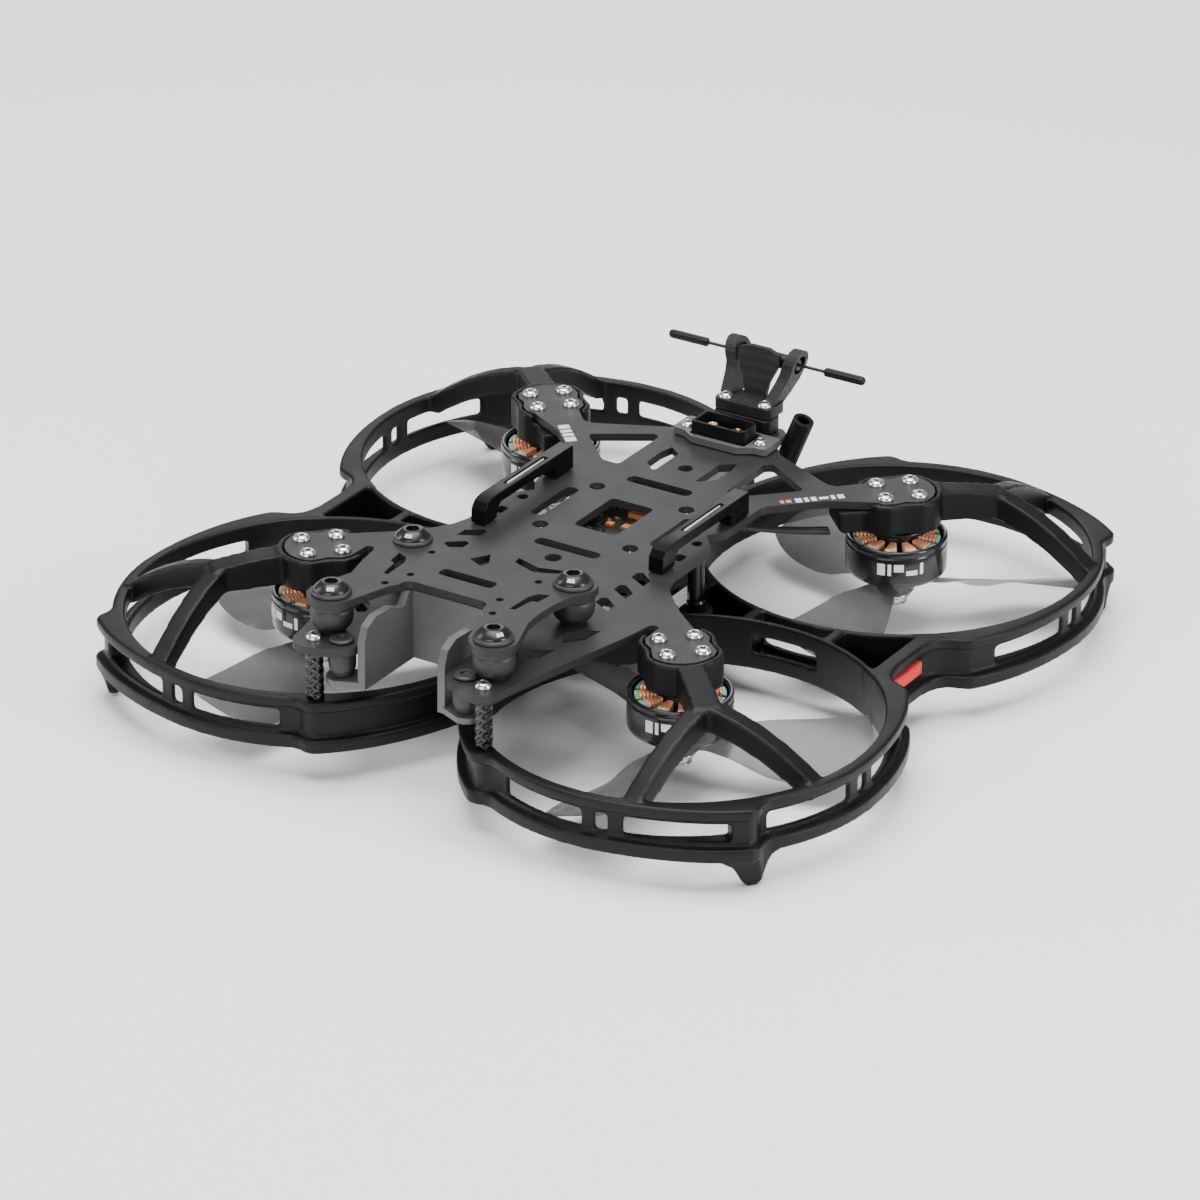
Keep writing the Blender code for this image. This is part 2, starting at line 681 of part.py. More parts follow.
def make_camera_bracket():
    """Side plates, rear wall and damper ears of the camera cage, printed as one piece."""
    top = DAMPER_BOTTOM - GAP
    rear = -69.4
    side = [(-91.1, CAGE_BOTTOM), (rear, CAGE_BOTTOM), (rear, top), (-72.5, top), (-74.5, 40.0),
            (-76.5, 40.4), (-79.5, 41.9), (-86.0, 42.2), (-89.4, 40.6), (-90.8, 37.0)]
    inner, outer = CAGE_HALF, CAGE_HALF + CAGE_WALL
    plates = []
    for x in (inner + CAGE_WALL / 2.0, -(inner + CAGE_WALL / 2.0)):
        plates.append(side_slab("side", side, (x, 0.0), 90.0, CAGE_WALL / 2.0))
    ear = [(outer - 1.0, -84.5), (17.2, -85.8)] + arc(LOWER_BALL, 3.9, 90.0, -90.0, 8)
    ear += [(outer - 1.0, -91.0)]
    low, high = CAGE_BOTTOM + 0.1, CAGE_BOTTOM + 1.6
    wall = box("wall", (-outer + 0.1, outer - 0.1), (-71.0, rear - 0.1), (CAGE_BOTTOM + 0.05, top - 0.05))
    tools = [plates[1], slab("ear", ear, low, high), slab("ear", mirrored(ear), low, high)]
    return join_shapes(wall, [plates[0]] + tools)


def upper_ball(centre):
    low, high = PLATE_TOP + GAP, DAMPER_BOTTOM - GAP
    profile = [(0.0, high), (4.5, high), (5.1, 40.6), (4.9, 38.3), (3.4, 36.6), (3.0, low), (0.0, low)]
    return turned("ball", profile, centre, 16)


def lower_ball(centre):
    profile = [(0.0, 36.6), (2.9, 36.6), (2.9, 35.9), (2.35, 35.9), (2.35, 33.3),
               (3.2, 32.2), (3.2, 29.0), (2.2, 27.15), (0.0, 27.15)]
    return turned("ball", profile, centre, 14)


def damper_cap(centre):
    base = DAMPER_TOP + GAP
    profile = [(0.0, 48.1), (2.4, 48.1), (4.0, 46.6), (4.15, base), (0.0, base)]
    return turned("cap", profile, centre, 16)


# ---- frame pieces -------------------------------------------------------------------------
def standoff(centre, radius):
    return cylinder("standoff", centre, radius, RING_TOP + GAP, PLATE_BOTTOM - GAP, 16)


def side_standoff(centre):
    return cylinder("standoff", centre, 2.35, BOSS_TOP + GAP, PLATE_BOTTOM - GAP, 16)


def battery_rail():
    """Bridge-shaped rail: two legs on the plate and a slotted bar between them."""
    low = PLATE_TOP + GAP
    side = [(-21.0, low), (-15.6, low), (-15.2, 38.2), (-13.6, 39.4), (9.5, 39.4), (10.4, 38.6),
            (10.6, low), (18.5, low), (18.5, RAIL_TOP), (-16.8, RAIL_TOP), (-19.4, 41.3), (-20.8, 39.6)]
    centre_x = (RAIL_IN + RAIL_OUT) / 2.0
    rail = side_slab("rail", side, (centre_x, 0.0), 90.0, (RAIL_OUT - RAIL_IN) / 2.0)
    slot = box("slot", (centre_x - 0.65, centre_x + 0.65), (-8.5, 9.0), (38.5, 43.0))
    return cut_shapes(rail, [slot])


def stack_holes():
    corners = [(sx * STACK_HALF, sy * STACK_HALF) for sx in (-1, 1) for sy in (-1, 1)]
    return [circle(corner, 1.6, 10) for corner in corners]


def board(name, half, low, parts_on_board):
    """Square circuit board with clipped corners and a few component blocks."""
    clip = half - 3.4
    outline = [(half, -clip), (half, clip), (clip, half), (-clip, half),
               (-half, clip), (-half, -clip), (-clip, -half), (clip, -half)]
    made = slab(name, outline, low, low + 1.2, stack_holes())
    tools = [box("chip", (x - w, x + w), (y - h, y + h), (low + 1.0, low + 1.2 + t))
             for x, y, w, h, t in parts_on_board]
    return join_shapes(made, tools)


def bottom_plate():
    half = [(0.0, 27.0), (6.5, 27.0), (8.0, 25.5), (8.0, 16.5), (14.5, 16.5), (16.4, 14.6),
            (16.4, 8.5), (19.0, 6.0), (19.0, -6.0), (16.4, -8.5), (16.4, -14.6), (14.5, -16.5),
            (8.0, -16.5), (8.0, -25.5), (6.5, -27.0), (0.0, -27.0)]
    return slab("bottom", closed_mirror(half), 20.8, 22.3, stack_holes())


def connector_shell():
    """Open-topped plug shell with one rounded end."""
    outer = rounded([(-7.65, 48.1, 0.6), (7.65, 48.1, 2.6), (7.65, 55.9, 2.6), (-7.65, 55.9, 0.6)], 4)
    inner = rounded([(-6.8, 48.95, 0.4), (6.8, 48.95, 2.0), (6.8, 55.05, 2.0), (-6.8, 55.05, 0.4)], 4)
    shell = slab("shell", outer, PLATE_TOP + GAP, 41.1)
    return cut_shapes(shell, [slab("well", inner, 37.2, 42.0)])


def connector_bracket():
    outline = rounded([(13.4, 56.8, 1.0), (-13.4, 56.8, 1.0), (-13.4, 49.0, 0.6), (-9.8, 48.6, 0.6),
                       (-6.6, 46.4, 0.6), (6.6, 46.4, 0.6), (9.8, 48.6, 0.6), (13.4, 49.0, 0.6)], 2)
    hole = rectangle(-7.65 - GAP, 7.65 + GAP, 48.1 - GAP, 55.9 + GAP, 0.3)
    return slab("bracket", outline, PLATE_TOP + GAP, 37.8, [hole])


def connector_pin(x):
    return turned("pin", [(0.0, 39.7), (1.2, 39.7), (1.75, 39.1), (1.75, 37.5), (0.0, 37.5)], (x, 52.0), 14)


def splayed(made, side):
    """Leans a fork prong outward, from its foot to its ring."""
    for vertex in made.data.vertices:
        vertex.co.x += side * (PRONG_FOOT + (vertex.co.z / MM - PRONG_LOW) * PRONG_SPLAY) * MM
    return made


def antenna_mount():
    """Printed mount: base, two splayed prongs with antenna rings and a fin between them."""
    base = slab("mount", rounded([(8.1, 59.4, 1.5), (8.1, 67.4, 1.5), (-8.1, 67.4, 1.5),
                                  (-8.1, 59.4, 1.5)], 3), 40.2, 42.9)
    strut = [(61.6, PRONG_LOW), (62.8, 44.0), (66.2, 47.6), (67.5, 49.6)]
    strut += arc((ANTENNA_Y, ANTENNA_Z), PRONG_RING, 172.0, -32.0, 9)
    strut += [(73.4, 46.8), (70.4, 44.2), (67.0, PRONG_LOW)]
    tools = [splayed(side_slab("prong", strut, (0.0, 0.0), 90.0, 1.55), side) for side in (-1.0, 1.0)]
    fin = slab("fin", [(-2.7, 41.4), (2.7, 41.4), (3.6, 46.5), (6.1, 52.0), (5.6, 54.2), (2.5, 55.2),
                       (-2.5, 55.2), (-5.6, 54.2), (-6.1, 52.0), (-3.6, 46.5)], -0.7, 0.7)
    fin.data.transform(Matrix.Translation((0.0, 66.3 * MM, 0.0)) @ Matrix.Rotation(math.radians(90.0), 4, "X"))
    for vertex in fin.data.vertices:
        vertex.co.y += (vertex.co.z / MM - 41.4) * FIN_LEAN * MM
    join_shapes(base, tools + [fin])
    bores = []
    for side in (-1.0, 1.0):
        ring = slab("bore", circle((ANTENNA_Y, ANTENNA_Z), 2.45, 14), -3.4, 3.4)
        turn = Matrix.Rotation(math.radians(90.0), 4, "Z") @ Matrix.Rotation(math.radians(90.0), 4, "X")
        ring.data.transform(Matrix.Translation((side * 8.0 * MM, 0.0, 0.0)) @ turn)
        bores.append(ring)
    return cut_shapes(base, bores)


def mount_pedestal():
    outline = rounded([(8.0, 59.0, 1.5), (8.0, 65.5, 1.5), (-8.0, 65.5, 1.5), (-8.0, 59.0, 1.5)], 3)
    return slab("pedestal", outline, PLATE_TOP + GAP, 39.9)


def t_antenna():
    """Dipole antenna: centre block, thin arms and two sleeved tips, along X."""
    half = [(0.0, 28.3), (0.8, 28.2), (1.1, 27.8), (1.1, 16.9), (0.55, 16.5), (0.55, 9.3), (1.9, 9.2)]
    profile = half + [(r, -x) for r, x in reversed(half)]
    made = turned("antenna", profile, (0.0, 0.0), 12)
    lay = Matrix.Rotation(math.radians(90.0), 4, "Y")
    made.data.transform(Matrix.Translation((0.0, ANTENNA_Y * MM, ANTENNA_Z * MM)) @ lay)
    return made


def antenna_tube():
    """Angled guide tube for the receiver antenna, beside the plate's rear edge."""
    length = 14.6
    profile = [(1.6, length), (2.7, length), (2.7, 0.0), (1.6, 0.0)]
    made = turned("tube", profile, (0.0, 0.0), 16, closed=True)
    lean = Matrix.Rotation(math.radians(22.0), 4, "Y")
    made.data.transform(Matrix.Translation((12.3 * MM, 60.0 * MM, 29.2 * MM)) @ lean)
    return made


def motor_lead(start, end):
    """Flat bundle of a motor's leads, clipped under its arm."""
    steps = 5
    points = [Vector(start).lerp(Vector(end), i / steps) for i in range(steps + 1)]
    data = bpy.data.curves.new("lead", "CURVE")
    data.dimensions = "3D"
    data.bevel_depth = 1.3 * MM
    data.bevel_resolution = 1
    data.use_fill_caps = True
    data.resolution_u = 1
    spline = data.splines.new("POLY")
    spline.points.add(len(points) - 1)
    for i, (slot, place) in enumerate(zip(spline.points, points)):
        sag = 0.8 * math.sin(math.pi * i / steps)
        slot.co = (place.x * MM, place.y * MM, (place.z - sag) * MM, 1.0)
    guide = bpy.data.objects.new("lead", data)
    bpy.context.scene.collection.objects.link(guide)
    mesh = evaluated_mesh(guide)
    bpy.data.objects.remove(guide, do_unlink=True)
    weld(mesh)
    return link_mesh("lead", mesh)


def foam_insert():
    return box("foam", (FOAM_IN, 81.7), (-8.2 + GAP, 8.2 - GAP), (WINDOW_LOW + GAP, WINDOW_HIGH - GAP))


# ---- assembly -----------------------------------------------------------------------------
def pair(made, name, look, parts):
    """Files a right-hand piece and its mirror image."""
    right = finish(made, name + "_right", look, parts)
    finish(mirror_copy(right, name, "X"), name + "_left", look, parts)


def build():
    clear_scene()
    parts = new_collection(COLLECTION)
    carbon = material("coated_plate", (0.10, 0.10, 0.105), 0.42)
    moulding = material("duct_plastic", (0.035, 0.035, 0.038), 0.45)
    printed = material("printed_plastic", (0.045, 0.045, 0.047), 0.6)
    rubber = material("damper_rubber", (0.03, 0.03, 0.032), 0.7)
    black_metal = material("black_anodised", (0.012, 0.012, 0.013), 0.22, 0.7)
    bell_metal = material("gloss_bell", (0.010, 0.010, 0.011), 0.12, 0.5)
    copper = material("stator_copper", (0.60, 0.27, 0.12), 0.35, 0.8)
    steel = material("silver_steel", (0.75, 0.75, 0.76), 0.22, 1.0)
    gold = material("gold_pin", (0.85, 0.62, 0.22), 0.2, 1.0)
    smoke = material("smoke_propeller", (0.30, 0.30, 0.31), 0.2, 0.0, 0.75)
    foam = material("red_foam", (0.65, 0.03, 0.04), 0.9)
    circuit = material("circuit_board", (0.02, 0.025, 0.022), 0.5)
    sleeve = material("antenna_sleeve", (0.015, 0.015, 0.016), 0.4)

    finish(make_main_plate(), "main_plate", carbon, parts)
    finish(bottom_plate(), "bottom_plate", carbon, parts)
    duct = finish(make_right_duct(), "right_duct", moulding, parts)
    finish(mirror_copy(duct, "left", "X"), "left_duct", moulding, parts)
    pair(foam_insert(), "foam_insert", foam, parts)
    pair(battery_rail(), "battery_rail", black_metal, parts)
    pair(standoff(FRONT_STANDOFF, 2.1), "front_standoff", black_metal, parts)
    pair(side_standoff(SIDE_STANDOFF), "side_standoff", black_metal, parts)

    flight_parts = [(0.0, 0.0, 4.0, 4.0, 0.9), (-7.0, 5.0, 1.8, 1.8, 0.8), (8.0, -6.0, 2.4, 1.6, 0.8),
                    (0.0, 13.6, 3.0, 1.6, 1.6), (0.0, -13.6, 3.0, 1.6, 1.6)]
    speed_parts = [(sx * 8.5, sy * 8.0, 3.2, 2.4, 0.9) for sx in (-1, 1) for sy in (-1, 1)]
    finish(board("flight_controller", 16.2, 28.9, flight_parts), "flight_controller", circuit, parts)
    finish(board("speed_controller", 16.2, 23.4, speed_parts), "speed_controller", circuit, parts)

    finish(connector_shell(), "power_connector", moulding, parts)
    finish(connector_bracket(), "connector_bracket", printed, parts)
    finish(connector_pin(-3.6), "connector_pin_left", gold, parts)
    finish(connector_pin(3.6), "connector_pin_right", gold, parts)
    finish(mount_pedestal(), "antenna_pedestal", printed, parts)
    finish(antenna_mount(), "antenna_mount", printed, parts)
    finish(t_antenna(), "dipole_antenna", sleeve, parts)
    finish(antenna_tube(), "antenna_tube", printed, parts)

    motors = {
        "front_left": (-MOTOR_OFFSET, -MOTOR_OFFSET, 1.0),
        "front_right": (MOTOR_OFFSET, -MOTOR_OFFSET, -1.0),
        "rear_left": (-MOTOR_OFFSET, MOTOR_OFFSET, -1.0),
        "rear_right": (MOTOR_OFFSET, MOTOR_OFFSET, 1.0),
    }
    for place, (x, y, hand) in motors.items():
        centre = (x, y)
        finish(motor_base(centre), "motor_base_" + place, black_metal, parts)
        finish(stator(centre), "stator_" + place, copper, parts)
        finish(bell(centre), "bell_" + place, bell_metal, parts, axis=centre)
        finish(propeller(centre, hand), "propeller_" + place, smoke, parts, axis=centre)
        finish(prop_nut(centre), "prop_nut_" + place, steel, parts, axis=centre)
        inward = (math.copysign(1.0, -x), math.copysign(1.0, -y))
        start = (x + inward[0] * 12.0, y + inward[1] * 12.0, 26.4)
        end = (x + inward[0] * 31.5, y + inward[1] * 31.5, 31.4)
        finish(motor_lead(start, end), "motor_lead_" + place, sleeve, parts)

    finish(make_damper_plate(), "damper_plate", carbon, parts)
    finish(make_camera_bracket(), "camera_bracket", printed, parts)
    for place, centre in zip(("rear", "front"), UPPER_BALLS):
        pair(upper_ball(centre), "damper_ball_" + place, rubber, parts)
        pair(damper_cap(centre), "damper_cap_" + place, black_metal, parts)
    pair(lower_ball(LOWER_BALL), "cage_ball", rubber, parts)


build()
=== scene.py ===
import math
import random

import bmesh
import bpy
from mathutils import Matrix, Vector


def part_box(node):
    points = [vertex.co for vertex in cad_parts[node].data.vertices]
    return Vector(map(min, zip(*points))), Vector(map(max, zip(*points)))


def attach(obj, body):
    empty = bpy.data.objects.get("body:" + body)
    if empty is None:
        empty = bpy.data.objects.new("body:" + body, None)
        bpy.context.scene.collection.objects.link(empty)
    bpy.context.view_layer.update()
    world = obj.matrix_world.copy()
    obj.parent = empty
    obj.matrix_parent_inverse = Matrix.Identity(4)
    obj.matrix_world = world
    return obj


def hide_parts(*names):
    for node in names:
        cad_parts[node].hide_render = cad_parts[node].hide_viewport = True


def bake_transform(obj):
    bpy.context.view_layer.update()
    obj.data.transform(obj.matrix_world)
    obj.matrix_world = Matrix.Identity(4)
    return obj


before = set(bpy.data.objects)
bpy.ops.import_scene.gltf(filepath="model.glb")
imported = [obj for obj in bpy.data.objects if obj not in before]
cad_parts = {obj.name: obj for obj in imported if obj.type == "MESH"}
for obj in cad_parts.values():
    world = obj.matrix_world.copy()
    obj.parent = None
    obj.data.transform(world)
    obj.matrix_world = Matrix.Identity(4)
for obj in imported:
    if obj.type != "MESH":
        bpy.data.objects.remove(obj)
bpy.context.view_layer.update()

MM = 0.001
PLACES = ("front_left", "front_right", "rear_left", "rear_right")
SIDES = ("left", "right")


# ---- sizes read from the frame, in millimetres ----
def low(node):
    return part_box(node)[0] / MM


def high(node):
    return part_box(node)[1] / MM


def middle(node):
    return (low(node) + high(node)) / 2.0


def motor_centre(place):
    found = middle("bell_" + place)
    return Vector((found.x, found.y, 0.0))


PLATE_TOP = high("main_plate").z
PLATE_BOTTOM = low("main_plate").z
DAMPER_TOP = high("damper_plate").z
MOTOR = abs(motor_centre("rear_right").x)
RING_FACETS = 56                # even stations round each ring of the CAD duct
TEETH = (-122.0, -41.0, 40.7)   # angles of the ring's teeth, front right
TOOTH_STATIONS = (-34.0, -26.0, -20.0, -15.0, -10.0, -5.0, 0.0, 1.9, 3.9, 6.2)
RING_CENTRES = (Vector((MOTOR, -MOTOR)), Vector((MOTOR, MOTOR)))
STACK_HALF = 12.75
STACK_SHIFT = 0.3
SCREW_CIRCLE = 6.0              # motor screws from the motor axis
CORNERS = ((-1, -1), (-1, 1), (1, -1), (1, 1))
WELD = 0.002                    # vertices closer than this become one
FLAT = math.radians(0.8)        # facets within this angle join into one face
PLATE_SEAMS = (-44.2, -20.7, 11.1, 41.3)    # where the main plate's large faces are split
FORK_FOOT_TOP = 42.9            # seat of the antenna fork's screws
BLADE_REACH = 44.9
BLADE_HEIGHT = 11.3
FLOOR_HALF = 900


# ---- materials ----
class Look:
    """A procedural Principled material, with its record slot."""

    def __init__(self, name, slot, colour, roughness, metallic=0.0, coat=0.0, alpha=1.0,
                 specular=0.5):
        self.slot = slot
        self.material = bpy.data.materials.new(name)
        self.material.use_nodes = True
        self.tree = self.material.node_tree
        self.shader = self.tree.nodes["Principled BSDF"]
        self.colour = colour
        self.set("Base Color", (*colour, 1.0))
        self.set("Roughness", roughness)
        self.set("Metallic", metallic)
        self.set("Coat Weight", coat)
        self.set("Coat Roughness", 0.08)
        self.set("Alpha", alpha)
        self.set("Specular IOR Level", specular)
        self.place = self.node("ShaderNodeTexCoord").outputs["Object"]
        self.height = None

    def set(self, socket, value):
        self.shader.inputs[socket].default_value = value

    def node(self, kind, **values):
        made = self.tree.nodes.new(kind)
        for name, value in values.items():
            if name in made.inputs:
                made.inputs[name].default_value = value
            else:
                setattr(made, name, value)
        return made

    def link(self, start, end):
        self.tree.links.new(start, end)

    def noise(self, size, detail=3.0, rough=0.55):
        """Noise whose features are about size millimetres across."""
        made = self.node("ShaderNodeTexNoise", Scale=1.0 / (size * MM), Detail=detail, Roughness=rough)
        self.link(self.place, made.inputs["Vector"])
        return made.outputs["Fac"]

    def cells(self, size):
        made = self.node("ShaderNodeTexVoronoi", Scale=1.0 / (size * MM))
        self.link(self.place, made.inputs["Vector"])
        return made.outputs["Distance"]

    def bands(self, size, direction="Z", distortion=0.0):
        """Sine bands, one every size millimetres."""
        made = self.node("ShaderNodeTexWave", Scale=0.314159 / (size * MM), Distortion=distortion,
                         Detail=1.0)
        made.bands_direction = direction
        self.link(self.place, made.inputs["Vector"])
        return made.outputs["Fac"]

    def ramp(self, source, start, end, low_value, high_value):
        made = self.node("ShaderNodeMapRange")
        made.inputs["From Min"].default_value = start
        made.inputs["From Max"].default_value = end
        made.inputs["To Min"].default_value = low_value
        made.inputs["To Max"].default_value = high_value
        self.link(source, made.inputs["Value"])
        return made.outputs["Result"]

    def tint(self, factor, other):
        """Mixes another colour over the present one by a factor."""
        mix = self.node("ShaderNodeMix", data_type="RGBA")
        mix.inputs[7].default_value = (*other, 1.0)
        base = self.shader.inputs["Base Color"]
        if base.is_linked:
            self.link(base.links[0].from_socket, mix.inputs[6])
        else:
            mix.inputs[6].default_value = (*self.colour, 1.0)
        self.link(factor, mix.inputs[0])
        self.link(mix.outputs[2], base)
        return self

    def mottle(self, size, spread):
        """Slow change of brightness across the surface."""
        darker = tuple(c * (1.0 - spread) for c in self.colour)
        return self.tint(self.ramp(self.noise(size), 0.35, 0.65, 0.0, 1.0), darker)

    def sheen_spread(self, size, smooth, rough):
        spread = self.ramp(self.noise(size, 4.0), 0.3, 0.7, smooth, rough)
        self.link(spread, self.shader.inputs["Roughness"])
        return self

    def relief(self, source, strength, distance):
        """Adds a bump layer; distance is in millimetres."""
        made = self.node("ShaderNodeBump")
        made.inputs["Strength"].default_value = strength
        made.inputs["Distance"].default_value = distance * MM
        self.link(source, made.inputs["Height"])
        if self.height is not None:
            self.link(self.height, made.inputs["Normal"])
        self.height = made.outputs["Normal"]
        self.link(self.height, self.shader.inputs["Normal"])
        return self


def twill(look, size):
    """2 by 2 twill of carbon tows, as a factor between 0 and 1."""
    parts = look.node("ShaderNodeSeparateXYZ")
    look.link(look.place, parts.inputs[0])
    both = []
    for sign in (1.0, -1.0):
        slanted = look.node("ShaderNodeMath", operation="MULTIPLY_ADD")
        slanted.inputs[1].default_value = sign
        look.link(parts.outputs["X"], slanted.inputs[0])
        look.link(parts.outputs["Y"], slanted.inputs[2])
        scaled = look.node("ShaderNodeMath", operation="MULTIPLY")
        scaled.inputs[1].default_value = math.pi / (size * MM)
        look.link(slanted.outputs[0], scaled.inputs[0])
        wave = look.node("ShaderNodeMath", operation="SINE")
        look.link(scaled.outputs[0], wave.inputs[0])
        both.append(wave.outputs[0])
    product = look.node("ShaderNodeMath", operation="MULTIPLY")
    look.link(both[0], product.inputs[0])
    look.link(both[1], product.inputs[1])
    return look.ramp(product.outputs[0], -0.4, 0.4, 0.0, 1.0)


def make_looks():
    looks = {}

    def look(name, slot, *values, **more):
        looks[name] = Look(name, slot, *values, **more)
        return looks[name]

    def plain(name, slot, colour, rough, mottle, grain, sheen=None, **more):
        """A look with mottle (size, spread), noise grain (size, strength, distance) and sheen."""
        made = look(name, slot, colour, rough, **more).mottle(*mottle)
        if sheen:
            made.sheen_spread(*sheen)
        size, strength, distance = grain
        made.relief(made.noise(size), strength, distance)

    plate = look("coated_carbon", "coated_plate", (0.021, 0.021, 0.022), 0.42, specular=0.25)
    plate.mottle(22.0, 0.08)
    plate.tint(plate.ramp(twill(plate, 2.0), 0.0, 1.0, 0.0, 0.12), (0.011, 0.011, 0.012))
    plate.sheen_spread(9.0, 0.40, 0.47).relief(plate.noise(0.35, 2.0), 0.12, 0.05)

    duct = look("duct_nylon", "duct_plastic", (0.0042, 0.0042, 0.0046), 0.36, specular=0.2)
    duct.mottle(30.0, 0.14).sheen_spread(12.0, 0.38, 0.47)
    duct.relief(duct.noise(0.45, 3.0), 0.16, 0.06)

    printed = look("printed_flexible", "printed_plastic", (0.0085, 0.0085, 0.009), 0.52, specular=0.35)
    layer = printed.bands(0.42, "Y", 0.25)
    printed.mottle(6.0, 0.25).tint(printed.ramp(layer, 0.0, 0.35, 0.6, 0.0), (0.004, 0.004, 0.0045))
    printed.sheen_spread(4.0, 0.45, 0.6).relief(layer, 0.55, 0.09).relief(printed.noise(0.6), 0.2, 0.04)

    rail = look("rail_anodised", "black_anodised", (0.004, 0.004, 0.0045), 0.24, 0.0, specular=0.12)
    # Faces that point up are tinted lighter: a painted highlight on the rail's tops, where the light falls
    # on them.
    painted_top_light_normal = rail.node("ShaderNodeSeparateXYZ")
    rail.link(rail.node("ShaderNodeNewGeometry").outputs["Normal"], painted_top_light_normal.inputs[0])
    rail.tint(rail.ramp(painted_top_light_normal.outputs["Z"], 0.80, 0.97, 0.0, 1.0), (0.008, 0.008, 0.0085))
    rail.sheen_spread(4.0, 0.2, 0.3).relief(rail.noise(0.3), 0.06, 0.03)

    bell = look("gloss_bell", "gloss_bell", (0.010, 0.010, 0.0108), 0.2, 0.1, coat=0.35)
    bell.mottle(8.0, 0.25).sheen_spread(6.0, 0.16, 0.25).relief(bell.bands(0.3, "Z"), 0.05, 0.01)

    plain("cage_plastic", "printed_plastic", (0.075, 0.075, 0.076), 0.40, (14.0, 0.12), (0.4, 0.14, 0.05),
          (8.0, 0.36, 0.46))
    plain("damper_rubber", "damper_rubber", (0.016, 0.016, 0.017), 0.48, (5.0, 0.2), (0.3, 0.15, 0.04),
          (3.0, 0.44, 0.56))
    plain("black_anodised", "black_anodised", (0.005, 0.005, 0.0056), 0.22, (6.0, 0.2), (0.25, 0.05, 0.02),
          (5.0, 0.16, 0.27), metallic=0.2, coat=0.25)
    plain("cap_anodised", "black_anodised", (0.005, 0.005, 0.0055), 0.33, (3.0, 0.25), (0.3, 0.08, 0.02),
          (2.0, 0.28, 0.4), metallic=0.2, coat=0.15)
    plain("silver_steel", "silver_steel", (0.80, 0.80, 0.80), 0.16, (1.2, 0.12), (0.2, 0.06, 0.02),
          (0.8, 0.14, 0.28), metallic=1.0)
    plain("nut_steel", "silver_steel", (0.60, 0.60, 0.62), 0.2, (1.5, 0.3), (0.3, 0.08, 0.02),
          (1.2, 0.14, 0.28), metallic=1.0)
    plain("slot_insulation", "stator_copper", (0.17, 0.46, 0.34), 0.42, (1.5, 0.35), (0.4, 0.2, 0.04))
    plain("gold_contact", "gold_pin", (0.86, 0.60, 0.22), 0.18, (1.0, 0.15), (0.3, 0.06, 0.02),
          metallic=1.0)
    plain("chip_resin", "circuit_board", (0.014, 0.014, 0.015), 0.5, (1.5, 0.3), (0.2, 0.2, 0.02))
    plain("solder_pads", "circuit_board", (0.66, 0.66, 0.64), 0.3, (0.7, 0.3), (0.4, 0.4, 0.05),
          metallic=0.95)
    plain("amber_parts", "circuit_board", (0.50, 0.17, 0.05), 0.45, (0.9, 0.4), (0.3, 0.2, 0.03))
    plain("antenna_sleeve", "antenna_sleeve", (0.003, 0.003, 0.0034), 0.40, (3.0, 0.3), (0.35, 0.35, 0.05),
          specular=0.3)
    plain("lead_silicone", "antenna_sleeve", (0.008, 0.008, 0.0086), 0.46, (4.0, 0.2), (0.6, 0.15, 0.03))
    plain("white_marks", "gloss_bell", (0.78, 0.78, 0.77), 0.45, (1.5, 0.06), (0.3, 0.1, 0.01))
    plain("pale_stripes", "coated_plate", (0.62, 0.62, 0.60), 0.5, (1.5, 0.08), (0.3, 0.1, 0.01))
    plain("orange_stripe", "coated_plate", (0.62, 0.20, 0.07), 0.5, (1.5, 0.10), (0.3, 0.1, 0.01))
    plain("bright_inlay", "black_anodised", (0.80, 0.80, 0.79), 0.3, (3.0, 0.05), (0.4, 0.08, 0.01),
          metallic=0.1)

    coil = look("copper_windings", "stator_copper", (0.94, 0.46, 0.27), 0.30, 0.35)
    coil.tint(coil.ramp(coil.noise(1.4), 0.38, 0.68, 0.0, 0.5), (0.42, 0.15, 0.07))
    coil.relief(coil.noise(0.3), 0.2, 0.04)

    core = look("stator_core", "stator_copper", (0.020, 0.020, 0.021), 0.4, 0.7)
    core.mottle(2.0, 0.3).relief(core.bands(0.35, "Z"), 0.6, 0.06)

    # Near-black steel for the discs inside screw sockets: painted shade in the sockets.
    socket = look("socket_painted_shade", "silver_steel", (0.03, 0.03, 0.032), 0.5, 0.6)
    socket.mottle(0.6, 0.3)

    smoke = look("smoked_blade", "smoke_propeller", (0.085, 0.085, 0.088), 0.26, alpha=0.76)
    smoke.mottle(30.0, 0.05).sheen_spread(40.0, 0.24, 0.28)

    foam = look("red_foam", "red_foam", (0.70, 0.045, 0.045), 0.9)
    foam.tint(foam.ramp(foam.cells(0.55), 0.0, 0.7, 0.7, 0.0), (0.22, 0.01, 0.012))
    foam.relief(foam.cells(0.5), 0.9, 0.2).relief(foam.noise(0.8), 0.5, 0.12)

    board = look("solder_mask", "circuit_board", (0.008, 0.010, 0.009), 0.34, coat=0.25)
    traces = board.ramp(board.bands(1.1, "X", 6.0), 0.80, 0.84, 0.0, 0.7)
    board.tint(traces, (0.035, 0.045, 0.036)).relief(board.noise(0.5), 0.1, 0.02)

    return looks


LOOKS = make_looks()


# ---- mesh helpers ----
def show(mesh, name, look, body="frame", stands_for=(), smooth=35.0):
    """Puts a mesh (metres, row frame) in the scene as a visible piece."""
    chosen = LOOKS[look]
    obj = bpy.data.objects.new(name, mesh)
    bpy.context.scene.collection.objects.link(obj)
    mesh.materials.clear()
    mesh.materials.append(chosen.material)
    if smooth is not None:
        mesh.shade_smooth()
        mesh.set_sharp_from_angle(angle=math.radians(smooth))
    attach(obj, body)
    if stands_for:
        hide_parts(*stands_for)
    return obj


def evaluated(obj):
    graph = bpy.context.evaluated_depsgraph_get()
    mesh = bpy.data.meshes.new_from_object(obj.evaluated_get(graph), depsgraph=graph)
    bpy.data.objects.remove(obj, do_unlink=True)
    return mesh


